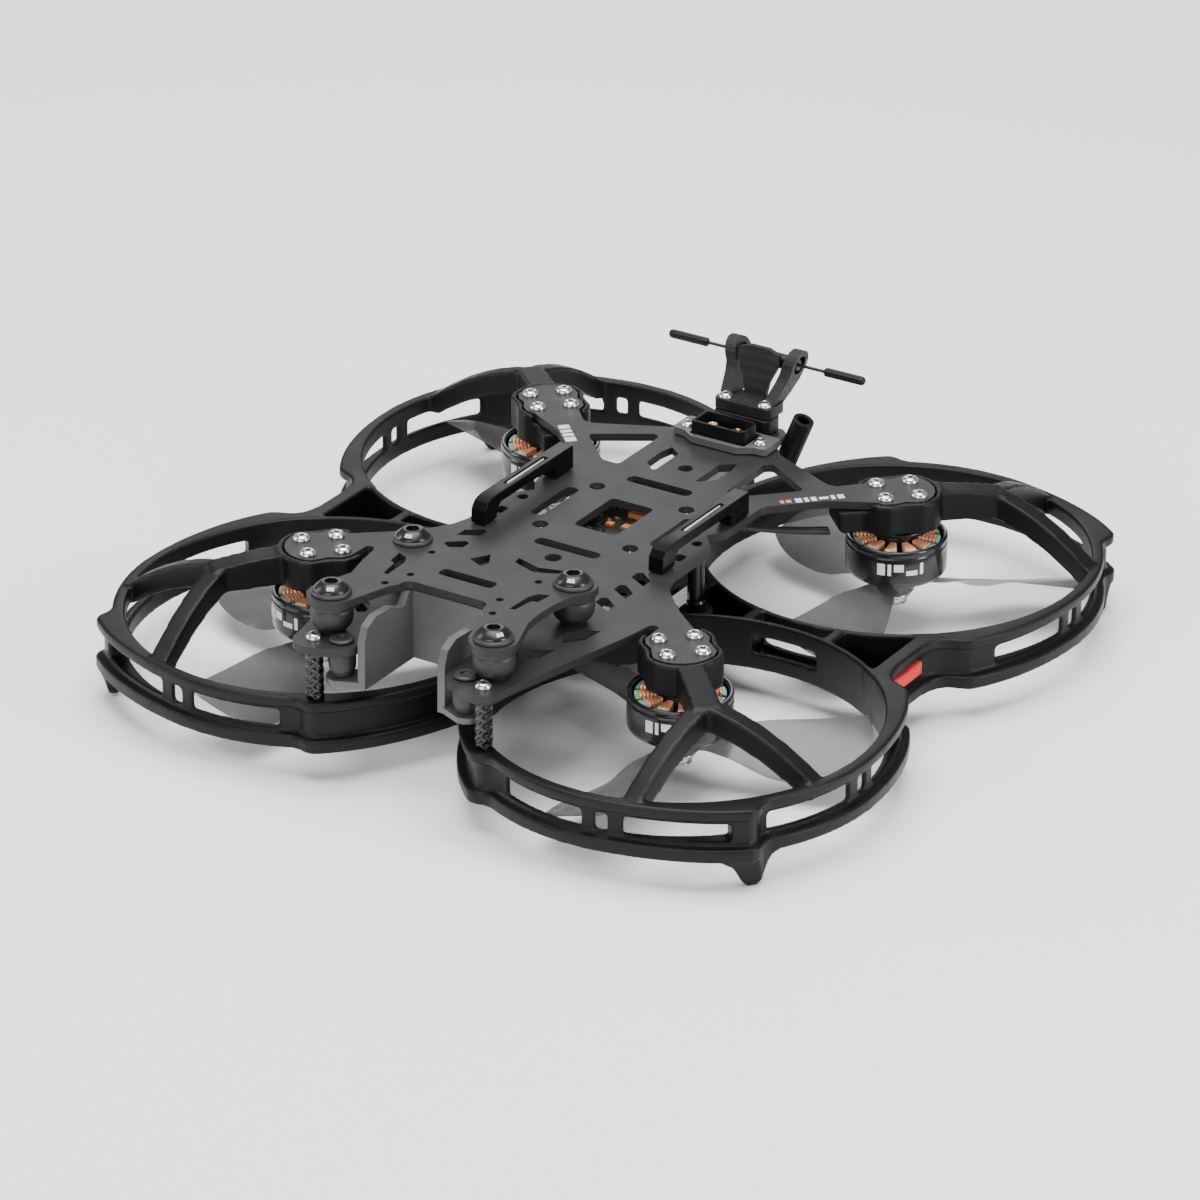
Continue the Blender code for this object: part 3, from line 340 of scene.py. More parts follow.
def temporary(data):
    """A scene object for a mesh or curve that is worked on and then removed."""
    obj = bpy.data.objects.new("work", data)
    bpy.context.scene.collection.objects.link(obj)
    return obj


def merge_facets(work):
    bmesh.ops.remove_doubles(work, verts=work.verts, dist=WELD * MM)
    bmesh.ops.dissolve_limit(work, angle_limit=FLAT, verts=work.verts, edges=work.edges)


def cad_copy(node, seams=()):
    """A clean copy of a CAD node's mesh, its flat facets joined into whole faces.

    Seams are planes, each a point in millimetres and a normal; large faces are split there."""
    work = bmesh.new()
    work.from_mesh(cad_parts[node].data)
    merge_facets(work)
    for point, normal in seams:
        everything = work.verts[:] + work.edges[:] + work.faces[:]
        bmesh.ops.bisect_plane(work, geom=everything, plane_co=Vector(point) * MM, plane_no=normal)
    bmesh.ops.recalc_face_normals(work, faces=work.faces)
    mesh = bpy.data.meshes.new(node)
    faces = [[v.index for v in face.verts] for face in work.faces]
    mesh.from_pydata([v.co.copy() for v in work.verts], [], faces)
    work.free()
    return mesh


def bevelled(mesh, width, segments=2, angle=32.0):
    """Rounds a mesh's sharp edges and keeps its flats flat."""
    mesh.shade_smooth()
    obj = temporary(mesh)
    bevel = obj.modifiers.new("edges", "BEVEL")
    bevel.width = width * MM
    bevel.segments = segments
    bevel.limit_method = "ANGLE"
    bevel.angle_limit = math.radians(angle)
    bevel.harden_normals = True
    bevel.miter_outer = "MITER_ARC"
    return evaluated(obj)


def rounded_copy(node, width, name, look, body="frame", segments=2, angle=32.0, seams=()):
    """Shows a CAD node with rounded edges in its own place."""
    mesh = bevelled(cad_copy(node, seams), width, segments, angle)
    show(mesh, name, look, body, [node], smooth=None)


def remeshed(mesh, voxel, passes, keep=1.0, fix=None):
    """Voxel copy of a mesh with softened edges and filleted inner corners."""
    obj = temporary(mesh)
    remesh = obj.modifiers.new("voxels", "REMESH")
    remesh.mode = "VOXEL"
    remesh.voxel_size = voxel * MM
    remesh.adaptivity = 0.0
    made = evaluated(obj)
    if fix is not None:
        fix(made)
    obj = temporary(made)
    relax = obj.modifiers.new("relax", "SMOOTH")
    relax.factor = 0.5
    relax.iterations = passes
    if keep < 1.0:
        thin = obj.modifiers.new("thin", "DECIMATE")
        thin.ratio = keep
    return evaluated(obj)


def moved(mesh, matrix):
    """A transformed copy of a mesh; a mirroring matrix keeps the faces pointing out."""
    made = mesh.copy()
    made.transform(matrix)
    if matrix.determinant() < 0.0:
        made.flip_normals()
    return made


def shift(x, y, z=0.0):
    return Matrix.Translation((x * MM, y * MM, z * MM))


def spin(degrees, axis="Z"):
    return Matrix.Rotation(math.radians(degrees), 4, axis)


def as_mesh(work):
    made = bpy.data.meshes.new("made")
    work.to_mesh(made)
    work.free()
    return made


def joined(meshes):
    work = bmesh.new()
    for mesh in meshes:
        work.from_mesh(mesh)
    return as_mesh(work)


def soft_corners(points, radius, closed, steps=3):
    """Rounds the corners of a profile; the ends of an open one stay where they are."""
    made = []
    count = len(points)
    for i, point in enumerate(points):
        if not closed and i in (0, count - 1):
            made.append(tuple(point))
            continue
        here = Vector(point)
        before = Vector(points[i - 1]) - here
        after = Vector(points[(i + 1) % count]) - here
        reach = min(radius, before.length * 0.45, after.length * 0.45)
        start, end = here + before.normalized() * reach, here + after.normalized() * reach
        for step in range(steps + 1):
            t = step / steps
            bend = start * (1 - t) ** 2 + here * 2 * t * (1 - t) + end * t * t
            made.append((bend.x, bend.y))
    return made


def turned(profile, centre=(0.0, 0.0), steps=64, closed=False, soft=0.0, wobble=None):
    """Lathe of an (r, z) profile that runs down its outer side; wobble changes r by angle and z."""
    points = soft_corners(profile, soft, closed) if soft > 0.0 else list(profile)
    work = bmesh.new()
    rings = []
    for r, z in points:
        if r < 1e-6:
            rings.append([work.verts.new((centre[0] * MM, centre[1] * MM, z * MM))])
            continue
        ring = []
        for i in range(steps):
            angle = 2.0 * math.pi * i / steps
            reach = r if wobble is None else r + wobble(angle, r, z)
            ring.append(work.verts.new(((centre[0] + reach * math.cos(angle)) * MM,
                                        (centre[1] + reach * math.sin(angle)) * MM, z * MM)))
        rings.append(ring)
    pairs = list(zip(rings, rings[1:]))
    if closed:
        pairs.append((rings[-1], rings[0]))
    for upper, lower in pairs:
        for i in range(steps):
            j = (i + 1) % steps
            corner = [upper[i % len(upper)], lower[i % len(lower)]]
            corner += [lower[j % len(lower)], upper[j % len(upper)]]
            loop = list(dict.fromkeys(corner))
            if len(loop) > 2:
                work.faces.new(loop)
    return as_mesh(work)


def slab(outline, bottom, top, holes=()):
    """A flat outline with holes between two heights."""
    data = bpy.data.curves.new("slab", "CURVE")
    data.dimensions = "2D"
    data.fill_mode = "BOTH"
    data.extrude = (top - bottom) / 2.0 * MM
    for loop in (outline, *holes):
        spline = data.splines.new("POLY")
        spline.points.add(len(loop) - 1)
        for point, (x, y) in zip(spline.points, loop):
            point.co = (x * MM, y * MM, 0.0, 1.0)
        spline.use_cyclic_u = True
    mesh = evaluated(temporary(data))
    mesh.transform(shift(0.0, 0.0, (bottom + top) / 2.0))
    work = bmesh.new()
    work.from_mesh(mesh)
    merge_facets(work)
    bmesh.ops.recalc_face_normals(work, faces=work.faces)
    work.to_mesh(mesh)
    work.free()
    return mesh


def rectangle(x, y):
    return [(x[0], y[0]), (x[1], y[0]), (x[1], y[1]), (x[0], y[1])]


def block(x, y, z, edge=0.15, segments=2):
    """A box with rounded edges from three (low, high) pairs."""
    return bevelled(slab(rectangle(x, y), z[0], z[1]), edge, segments)


def band(outer, inner, first, last, steps):
    """Part of a flat ring round the origin, from one angle to another."""
    return arc((0, 0), outer, first, last, steps) + arc((0, 0), inner, last, first, steps)


def tube(points, radius, sides=4):
    """A round wire through points, in millimetres."""
    data = bpy.data.curves.new("wire", "CURVE")
    data.dimensions = "3D"
    data.bevel_depth = radius * MM
    data.bevel_resolution = sides
    data.use_fill_caps = True
    spline = data.splines.new("NURBS")
    spline.points.add(len(points) - 1)
    for slot, (x, y, z) in zip(spline.points, points):
        slot.co = (x * MM, y * MM, z * MM, 1.0)
    spline.use_endpoint_u = True
    spline.order_u = 4
    spline.resolution_u = 6
    return evaluated(temporary(data))


def circle(centre, radius, steps=32):
    return [(centre[0] + radius * math.cos(2 * math.pi * i / steps),
             centre[1] + radius * math.sin(2 * math.pi * i / steps)) for i in range(steps)]


def arc(centre, radius, start, end, steps=12):
    turns = [math.radians(start + (end - start) * i / steps) for i in range(steps + 1)]
    return [(centre[0] + radius * math.cos(t), centre[1] + radius * math.sin(t)) for t in turns]


# ---- screws ----
def hexagon(turn, size):
    """Radius at an angle of a hexagon whose sides are at the given distance."""
    return size / math.cos((turn + math.pi / 6) % (math.pi / 3) - math.pi / 6)


def button_screw(radius, height, socket):
    """Head of a button screw with a hexagon socket, its seat at z = 0."""
    steps = 48
    dome = [(radius * 0.86, -0.9 * height), (radius * 0.9, 0.0), (radius, 0.06 * height),
            (radius, 0.28 * height), (radius * 0.93, 0.55 * height), (radius * 0.78, 0.82 * height),
            (radius * 0.6, 0.97 * height)]
    work = bmesh.new()
    rings = []

    def ring(reach, z):
        made = []
        for i in range(steps):
            turn = 2 * math.pi * i / steps
            r = reach(turn) if callable(reach) else reach
            made.append(work.verts.new((r * math.cos(turn) * MM, r * math.sin(turn) * MM, z * MM)))
        rings.append(made)

    for r, z in dome:
        ring(r, z)
    ring(lambda turn: hexagon(turn, socket) * 1.08, height)
    ring(lambda turn: hexagon(turn, socket), height * 0.97)
    ring(lambda turn: hexagon(turn, socket), height * 0.3)
    for outer, inner in zip(rings, rings[1:]):
        for i in range(steps):
            j = (i + 1) % steps
            work.faces.new((outer[i], outer[j], inner[j], inner[i]))
    work.faces.new(rings[-1])
    work.faces.new(list(reversed(rings[0])))
    return as_mesh(work)


def socket_shade_disc(radius, z):
    """Dark disc inside a screw's socket: painted shade for the socket's shadowed depth."""
    return turned([(0.0, z + 0.02), (radius, z + 0.02), (radius, z - 0.05), (0.0, z - 0.05)], steps=12)


def add_screws(name, places, radius, height, socket, body="frame", look="silver_steel"):
    heads, shade_discs = [], []
    for i, (x, y, z) in enumerate(places):
        at = shift(x, y, z) @ spin(17.0 + 41.0 * i)
        heads.append(moved(button_screw(radius, height, socket), at))
        shade_discs.append(moved(socket_shade_disc(socket, height * 0.8), at))
    show(joined(heads), name, look, body, smooth=28.0)
    show(joined(shade_discs), name + "_socket_shade", "socket_painted_shade", body)


# ---- ducts ----
def ring_stations():
    """Angles at which the CAD ring has its cross-sections, front right."""
    margin = 180.0 / RING_FACETS
    even = [360.0 * i / RING_FACETS - 180.0 for i in range(RING_FACETS)]
    first, last = TOOTH_STATIONS[0] - margin, TOOTH_STATIONS[-1] + margin
    plain = [turn for turn in even if not any(tooth + first < turn < tooth + last for tooth in TEETH)]
    return sorted(plain + [tooth + step for tooth in TEETH for step in TOOTH_STATIONS])


def true_circles(mesh):
    """Pushes each ring's flat facets out to true circles."""
    stations = ring_stations()
    stations.append(stations[0] + 360.0)
    for vertex in mesh.vertices:
        place = Vector((vertex.co.x, vertex.co.y)) / MM
        for centre in RING_CENTRES:
            arm = place - centre
            if not 46.5 < arm.length < 56.5 or place.x > 81.0 and abs(place.y) < 12.0:
                continue
            turn = math.degrees(math.atan2(arm.y, arm.x)) * (1.0 if centre.y < 0.0 else -1.0)
            turn = turn if turn >= stations[0] else turn + 360.0
            here = max(i for i in range(len(stations) - 1) if stations[i] <= turn + 1e-9)
            half = math.radians(stations[here + 1] - stations[here]) / 2.0
            bend = math.radians(turn - stations[here]) - half
            grown = centre + arm * (math.cos(bend) / math.cos(half))
            vertex.co.x, vertex.co.y = grown.x * MM, grown.y * MM
            break


def add_ducts():
    shell = remeshed(cad_copy("right_duct"), 0.42, 7, 0.5, true_circles)
    mirror = Matrix.Diagonal((-1.0, 1.0, 1.0, 1.0))
    show(shell, "duct_moulding_right", "duct_nylon", stands_for=["right_duct"], smooth=60.0)
    show(moved(shell, mirror), "duct_moulding_left", "duct_nylon", stands_for=["left_duct"], smooth=60.0)


def add_foam():
    for side in SIDES:
        node = "foam_insert_" + side
        pad = bevelled(cad_copy(node), 0.5, 3)
        work = bmesh.new()
        work.from_mesh(pad)
        bmesh.ops.triangulate(work, faces=work.faces)
        bmesh.ops.subdivide_edges(work, edges=work.edges, cuts=5, use_grid_fill=True)
        noise = random.Random(7)
        for vertex in work.verts:
            vertex.co.x += noise.uniform(-0.07, 0.07) * MM
            vertex.co.z += noise.uniform(-0.04, 0.04) * MM
        work.to_mesh(pad)
        work.free()
        show(pad, "foam_pad_" + side, "red_foam", stands_for=[node])


# ---- plates and frame ----
def stripe(start, end, width, bars, z, thickness=0.04):
    """Row of short printed bars along a line, in place of any lettering."""
    start, end = Vector(start), Vector(end)
    along = (end - start).normalized()
    across = Vector((-along.y, along.x))
    pieces = []
    for first, last, share in bars:
        a = start.lerp(end, first)
        b = start.lerp(end, last)
        reach = across * (width * share / 2.0)
        loop = [tuple(a - reach), tuple(b - reach), tuple(b + reach), tuple(a + reach)]
        pieces.append(slab(loop, z, z + thickness))
    return joined(pieces)


def add_main_plate():
    seams = [((0.0, 0.0, 0.0), (1.0, 0.0, 0.0))]
    seams += [((0.0, y, 0.0), (0.0, 1.0, 0.0)) for y in PLATE_SEAMS]
    rounded_copy("main_plate", 0.22, "carbon_main_plate", "coated_carbon", seams=seams)
    rounded_copy("bottom_plate", 0.2, "carbon_bottom_plate", "coated_carbon")
    arm_screws = []
    for place in PLACES:
        centre = motor_centre(place)
        for dx, dy in ((1, 0), (0, 1), (-1, 0), (0, -1)):
            arm_screws.append((centre.x + dx * SCREW_CIRCLE, centre.y + dy * SCREW_CIRCLE, PLATE_TOP))
    add_screws("motor_screws", arm_screws, 2.05, 1.3, 0.66)
    stack = [(sx * STACK_HALF, sy * STACK_HALF + STACK_SHIFT, PLATE_TOP - 2.3) for sx, sy in CORNERS]
    add_screws("stack_screws", stack, 1.75, 1.0, 0.7)
    rear = Vector((MOTOR, MOTOR))
    white_bars = [(0.0, 0.10, 1.0), (0.14, 0.20, 1.0), (0.24, 0.38, 0.55), (0.42, 0.50, 1.0),
                  (0.54, 0.60, 1.0), (0.64, 0.74, 1.0)]
    inner = rear - Vector((21.0, 21.6))
    outer = rear - Vector((9.3, 9.9))
    marks = stripe(outer, inner, 2.2, white_bars, PLATE_TOP)
    show(marks, "arm_marks_right", "pale_stripes")
    show(stripe(outer, inner, 1.6, [(0.80, 0.88, 1.0), (0.91, 0.97, 1.0)], PLATE_TOP), "arm_marks_accent",
         "orange_stripe")
    left_bars = [(0.0, 0.22, 1.0), (0.30, 0.45, 1.0), (0.52, 0.68, 1.0), (0.75, 1.0, 1.0)]
    show(stripe((-MOTOR + 11.0, MOTOR - 11.4), (-MOTOR + 18.0, MOTOR - 18.4), 2.8, left_bars, PLATE_TOP),
         "arm_marks_left", "pale_stripes")


def add_rails():
    for side in SIDES:
        node = "battery_rail_" + side
        rounded_copy(node, 0.7, "rail_bridge_" + side, "rail_anodised", segments=3, angle=28.0)
        x, y = middle(node).x, middle(node).y
        top = high(node).z
        strip = block((x - 0.5, x - 0.15), (y - 6.2, y + 10.0), (top - 1.0, top - 0.35), 0.1)
        show(strip, "rail_inlay_" + side, "bright_inlay")


def braid(angle, r, z):
    """Diamond braid on the outside of a post."""
    if r < 1.0:
        return 0.0
    one = math.cos(4.0 * angle + 2.6 * z)
    two = math.cos(4.0 * angle - 2.6 * z)
    return 0.20 * max(one, two) - 0.16


def add_standoffs():
    for side in SIDES:
        node = "front_standoff_" + side
        centre, top, bottom = middle(node), high(node).z, low(node).z
        radius = (high(node).x - low(node).x) / 2.0
        levels = [top - (top - bottom) * i / 72 for i in range(73)]
        profile = [(0.0, top)] + [(radius - 0.02, z) for z in levels] + [(0.0, bottom)]
        post = turned(profile, centre, 72, wobble=braid)
        show(post, "knurled_post_" + side, "black_anodised", stands_for=[node], smooth=50.0)
        add_screws("tongue_screw_" + side, [(centre.x, centre.y, PLATE_TOP)], 2.0, 1.4, 0.75)
        node = "side_standoff_" + side
        centre, top, bottom = middle(node), high(node).z, low(node).z
        post = turned([(0.0, top), (2.35, top), (2.35, top - 1.2), (2.0, top - 1.5), (2.0, bottom + 2.2),
                       (2.35, bottom + 1.8), (2.35, bottom), (0.0, bottom)],
                      centre, 48, soft=0.25)
        show(post, "side_post_" + side, "black_anodised", stands_for=[node])


# ---- motors and propellers ----
COILS = 12
PRINT_TURNS = {"front_left": 222.0, "front_right": 262.0, "rear_left": 250.0, "rear_right": 278.0}


def coil_block(turn, inner, outer, narrow, wide, bottom, top):
    """One wound tooth, drawn as stacked turns of wire around it."""
    layers = []
    count = 5
    step = (outer - inner) / count
    for i in range(count):
        a, b = i / count, (i + 1) / count
        lower = narrow + (wide - narrow) * a
        upper = narrow + (wide - narrow) * b
        x0, x1 = inner + step * i, inner + step * (i + 1)
        loop = [(x0, -lower / 2), (x1, -upper / 2), (x1, upper / 2), (x0, lower / 2)]
        layers.append(bevelled(slab(loop, bottom, top), 0.28, 2))
    made = joined(layers)
    made.transform(spin(turn))
    return made


def stator_meshes(bottom, top):
    """Laminated core with its T-shaped teeth, the insulation on top and the wound coils."""
    height_low, height_high = bottom + 1.0, top - 1.9
    core = [turned([(2.3, top - 0.4), (4.7, top - 0.4), (4.7, bottom + 0.2), (2.3, bottom + 0.2)], steps=48,
                   closed=True, soft=0.2)]
    caps, coils = [], []
    for i in range(COILS):
        turn = 360.0 * i / COILS
        spread = 180.0 / COILS - 2.6
        tip = band(10.85, 9.9, turn - spread, turn + spread, 6)
        core.append(bevelled(slab(tip, height_low, height_high), 0.1, 1))
        lip = arc((0, 0), 10.75, turn - spread, turn + spread, 6)
        lip += arc((0, 0), 9.75, turn + spread - 0.6, turn - spread + 0.6, 6)
        for level in (height_high + 0.03, height_low - 0.53):
            caps.append(bevelled(slab(lip, level, level + 0.5), 0.12, 1))
        coils.append(coil_block(turn, 5.2, 9.7, 1.5, 3.1, bottom + 0.3, top - 0.9))
    return joined(core), joined(caps), joined(coils)


def bell_mesh(top, floor, bottom):
    radius = 12.5
    profile = [(0.0, top + 1.1), (1.5, top + 1.1), (1.5, floor), (11.35, floor), (11.35, top - 0.5),
               (11.7, top), (12.2, top), (radius, top - 0.35), (radius, top - 1.3), (12.3, top - 1.5),
               (12.3, top - 1.8), (radius, top - 2.0), (radius, bottom + 1.5), (12.2, bottom + 0.7),
               (11.5, bottom), (6.4, bottom), (6.2, bottom + 0.35), (5.4, bottom + 0.35), (5.2, bottom),
               (0.0, bottom)]
    return turned(profile, steps=96, soft=0.14)


def bell_vents(bottom):
    """Dark scooped vents in the closed face of the bell."""
    vents = []
    for i in range(6):
        turn = 60.0 * i
        loop = arc((0, 0), 10.2, turn - 19, turn + 19, 10) + arc((0, 0), 7.4, turn + 14, turn - 14, 8)
        vents.append(bevelled(slab(loop, bottom - 0.03, bottom + 0.2), 0.02, 1))
    return joined(vents)


def curved_marks(radius, bars, bottom, top):
    """Printed bars round the bell, each from one angle to another."""
    pieces = []
    for first, last, share_low, share_high in bars:
        z0 = bottom + (top - bottom) * share_low
        z1 = bottom + (top - bottom) * share_high
        pieces.append(slab(band(radius + 0.04, radius - 0.05, first, last, 6), z0, z1))
    return joined(pieces)


def blade_mesh(reach, height, hand):
    """One twisted, cambered blade with an airfoil's thickness and a rounded tip."""
    radial, around = 30, 16
    work = bmesh.new()
    loops = []
    for i in range(radial + 1):
        t = i / radial
        radius = 3.0 + (reach - 3.0) * t
        share = min(1.0, max(0.0, (radius - 6.0) / (reach - 6.0)))
        width = 6.5 + 13.5 * math.sin(math.pi * 0.62 * share)
        rounding = math.sqrt(max(0.0, 1.0 - max(0.0, (t - 0.965) / 0.035) ** 2 * 0.55))
        width *= rounding
        steepest = math.radians(20.0 + 12.0 * min(1.0, max(0.0, (radius - 12.0) / 6.0)))
        pitch = min(math.atan(88.0 / (2.0 * math.pi * radius)), steepest)
        sweep = 0.10 * radius * math.sin(math.pi * t)
        body = (1.15 - 0.55 * t) * (rounding if t > 0.965 else 1.0)
        loop = []
        for j in range(around):
            turn = 2.0 * math.pi * j / around
            v = 0.5 * math.cos(turn)
            edge = math.sin(turn)
            along = v * width + sweep
            lift = 1.6 * (0.25 - v * v) + edge * body * 0.5 * (0.55 + 0.45 * (1.0 - 2.0 * abs(v)))
            limited = min(radius, math.sqrt(max(0.0, reach ** 2 - along ** 2)))
            loop.append(work.verts.new((limited * MM, hand * along * math.cos(pitch) * MM,
                                        (height - along * math.sin(pitch) + lift) * MM)))
        loops.append(loop)
    for inner, outer in zip(loops, loops[1:]):
        for j in range(around):
            k = (j + 1) % around
            work.faces.new((inner[j], outer[j], outer[k], inner[k]))
    work.faces.new(loops[-1])
    work.faces.new(list(reversed(loops[0])))
    bmesh.ops.recalc_face_normals(work, faces=work.faces)
    return as_mesh(work)


def propeller_mesh(hand, rest_angle):
    top = 14.4
    hub = turned([(0.0, top), (4.4, top), (4.75, top - 0.35), (4.75, 9.5), (4.4, 9.05), (2.6, 9.05),
                  (2.6, 9.6), (0.0, 9.6)], steps=48, soft=0.2)
    blade = blade_mesh(BLADE_REACH, BLADE_HEIGHT, hand)
    blades = [moved(blade, spin(rest_angle + 120.0 * i)) for i in range(3)]
    return joined([hub] + blades)


def nut_mesh(bottom, top):
    """Flanged lock nut."""
    flange = turned([(0.0, top), (3.9, top), (3.9, top - 0.7), (3.2, top - 0.9), (0.0, top - 0.9)],
                    steps=48, soft=0.2)
    hexagon = bevelled(slab(circle((0, 0), 3.3, 6), bottom + 0.5, top - 0.8), 0.3, 2)
    collar = turned([(2.4, bottom + 0.55), (2.75, bottom + 0.45), (2.75, bottom + 0.1), (2.3, bottom),
                     (1.5, bottom), (1.5, bottom + 0.55)], steps=48, closed=True, soft=0.1)
    return joined([flange, hexagon, collar])


def add_motor(place, index):
    centre = motor_centre(place)
    at = shift(centre.x, centre.y)
    body = "rotor_" + place
    node = "stator_" + place
    core, caps, coils = stator_meshes(low(node).z, high(node).z)
    turn = spin(7.0 * index)
    show(moved(core, at @ turn), "stator_core_" + place, "stator_core", stands_for=[node])
    show(moved(caps, at @ turn), "stator_insulation_" + place, "slot_insulation")
    show(moved(coils, at @ turn), "stator_coils_" + place, "copper_windings", smooth=50.0)
    node = "motor_base_" + place
    top, bottom = high(node).z, low(node).z
    base = turned([(2.7, top), (8.4, top), (8.4, top - 1.0), (5.0, bottom), (2.7, bottom)],
                  steps=64, closed=True, soft=0.25)
    show(moved(base, at), "motor_foot_" + place, "black_anodised", stands_for=[node])
    node = "bell_" + place
    rim, bottom = 24.5, low(node).z
    show(moved(bell_mesh(rim, 16.4, bottom), at), "bell_shell_" + place, "gloss_bell", body, [node])
    show(moved(bell_vents(bottom), at), "bell_vents_" + place, "chip_resin", body)
    bars = [(0, 9, 0.0, 1.0), (12, 16, 0.0, 1.0), (19, 30, 0.35, 1.0), (33, 46, 0.0, 0.42),
            (49, 53, 0.0, 1.0),
            (120, 131, 0.0, 1.0), (134, 138, 0.2, 1.0), (141, 155, 0.0, 0.5), (158, 163, 0.0, 1.0),
            (240, 248, 0.0, 1.0), (251, 264, 0.3, 1.0), (267, 272, 0.0, 1.0), (275, 287, 0.0, 0.45)]
    marks = moved(curved_marks(12.5, bars, 18.4, 21.4), at @ spin(PRINT_TURNS[place]))
    show(marks, "bell_marks_" + place, "white_marks", body)
    shaft = turned([(0.0, 26.0), (1.2, 26.0), (1.45, 25.7), (1.45, 24.0), (0.0, 24.0)], steps=32)
    show(moved(shaft, at), "shaft_end_" + place, "silver_steel", body)
    hand = 1.0 if place in ("front_left", "rear_right") else -1.0
    node = "propeller_" + place
    show(moved(propeller_mesh(hand, 30.0), at), "prop_blades_" + place, "smoked_blade", body, [node],
         smooth=50.0)
    node = "prop_nut_" + place
    show(moved(nut_mesh(low(node).z, high(node).z), at), "lock_nut_" + place, "nut_steel", body, [node])


def add_leads(place):
    """Three silicone leads from each motor to the electronics, under the arm."""
    node = "motor_lead_" + place
    centre = motor_centre(place)
    inward = Vector((math.copysign(1.0, -centre.x), math.copysign(1.0, -centre.y), 0.0)).normalized()
    across = Vector((-inward.y, inward.x, 0.0))
    wires = []
    for offset in (-1.15, 0.0, 1.15):
        route = []
        for i in range(9):
            t = i / 8
            reach = 17.2 + 27.0 * t
            z = 26.5 + 4.9 * t - 0.8 * math.sin(math.pi * t)
            point = centre + inward * reach + across * (offset * (1.0 - 0.35 * math.sin(math.pi * t)))
            route.append((point.x, point.y, z))
        wires.append(tube(route, 0.62, 3))
    show(joined(wires), "lead_wires_" + place, "lead_silicone", stands_for=[node])


# ---- camera cage and dampers ----
CAP_TURNS = {"rear_left": 285.0, "rear_right": 292.0, "front_left": 300.0, "front_right": 330.0}


def cap_socket(turn, r, z):
    """Turns the bore of a damper cap into a hexagon socket."""
    return hexagon(turn, 1.5) - 1.5 if r < 1.6 else 0.0


def add_cage():
    rounded_copy("damper_plate", 0.22, "carbon_damper_plate", "coated_carbon", "camera_cage")
    rounded_copy("camera_bracket", 0.3, "camera_cage_print", "cage_plastic", "camera_cage")
    for end in ("rear", "front"):
        for side in SIDES:
            place = end + "_" + side
            cap = "damper_cap_" + place
            centre, top, base = middle(cap), high(cap).z, low(cap).z
            head = turned([(0.0, top - 1.1), (1.5, top - 1.1), (1.5, top - 0.1), (1.62, top), (2.3, top),
                           (2.6, top - 0.15), (3.9, top - 1.3), (4.15, top - 1.7), (4.15, base + 0.1),
                           (0.0, base + 0.1)], centre, 60, wobble=cap_socket)
            show(head, "cap_" + place, "cap_anodised", "camera_cage", [cap], smooth=32.0)
            marks = []
            for first, last in ((-14, -9), (-7, -3), (-1, 3), (5, 8), (10, 15)):
                marks.append(slab(band(3.55, 2.85, first, last, 2), -0.02, 0.03))
            ring = joined(marks)
            for vertex in ring.vertices:
                reach = math.hypot(vertex.co.x, vertex.co.y) / MM
                vertex.co.z += (top - 0.15 - (reach - 2.6) * 0.885 + 0.03) * MM
            marks = moved(ring, shift(centre.x, centre.y) @ spin(CAP_TURNS[place]))
            show(marks, "cap_marks_" + place, "white_marks", "camera_cage")
            foot = DAMPER_TOP + 0.02
            collar = turned([(3.2, DAMPER_TOP + 1.05), (4.35, DAMPER_TOP + 1.05),
                             (4.75, DAMPER_TOP + 0.6), (4.75, foot), (3.2, foot)],
                            centre, 60, closed=True, soft=0.2)
            show(collar, "cap_collar_" + place, "damper_rubber", "camera_cage")
            add_ball(place)


def rubber_piece(mesh, name, node):
    """A rubber damper between the fixed frame and the floating cage, shown with its transform baked in."""
    chosen = LOOKS["damper_rubber"]
    obj = bpy.data.objects.new(name, mesh)
    bpy.context.scene.collection.objects.link(obj)
    mesh.materials.append(chosen.material)
    mesh.shade_smooth()
    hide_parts(node)
    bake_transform(obj)


def add_ball(place):
    node = "damper_ball_" + place
    centre, top, base = middle(node), high(node).z, low(node).z
    profile = [(0.0, top + 0.25), (4.6, top + 0.25), (4.9, top - 0.1), (4.9, top - 0.8), (4.75, top - 1.0),
               (5.0, top - 1.4), (5.1, top - 2.6), (5.0, top - 4.0), (4.6, top - 5.2), (3.8, top - 6.1),
               (3.1, base + 0.3), (3.1, base - 0.25), (0.0, base - 0.25)]
    mesh = turned(profile, centre, 72, soft=0.5)
    rubber_piece(mesh, "barrel_" + place, node)


def add_lower_ball(side):
    node = "cage_ball_" + side
    centre, top, base = middle(node), high(node).z, low(node).z
    profile = [(0.0, top - 0.5), (1.15, top - 0.5), (1.15, top), (2.5, top), (2.95, top - 0.35),
               (2.95, top - 0.7), (2.4, top - 0.75), (2.4, top - 3.3), (3.0, top - 3.4),
               (3.25, top - 4.2), (3.3, top - 6.2), (3.15, top - 7.6), (2.6, top - 8.8), (2.5, base),
               (0.0, base)]
    mesh = turned(profile, centre, 60, soft=0.35)
    rubber_piece(mesh, "lower_barrel_" + side, node)


# ---- electronics ----
def scattered(seed, count, half, keep_out, size):
    """Non-overlapping rectangles spread over a board, as (x, y, half width, half depth)."""
    draw = random.Random(seed)
    found = list(keep_out)
    made = []
    while len(made) < count:
        x, y = draw.uniform(-half, half), draw.uniform(-half, half)
        a, b = size if draw.random() < 0.5 else (size[1], size[0])
        if all(abs(x - u) > a + p + 0.2 or abs(y - v) > b + q + 0.2 for u, v, p, q in found):
            found.append((x, y, a, b))
            made.append((x, y, a, b))
    return made


def corner_zones():
    return [(sx * STACK_HALF, sy * STACK_HALF, 2.8, 2.8) for sx, sy in CORNERS]


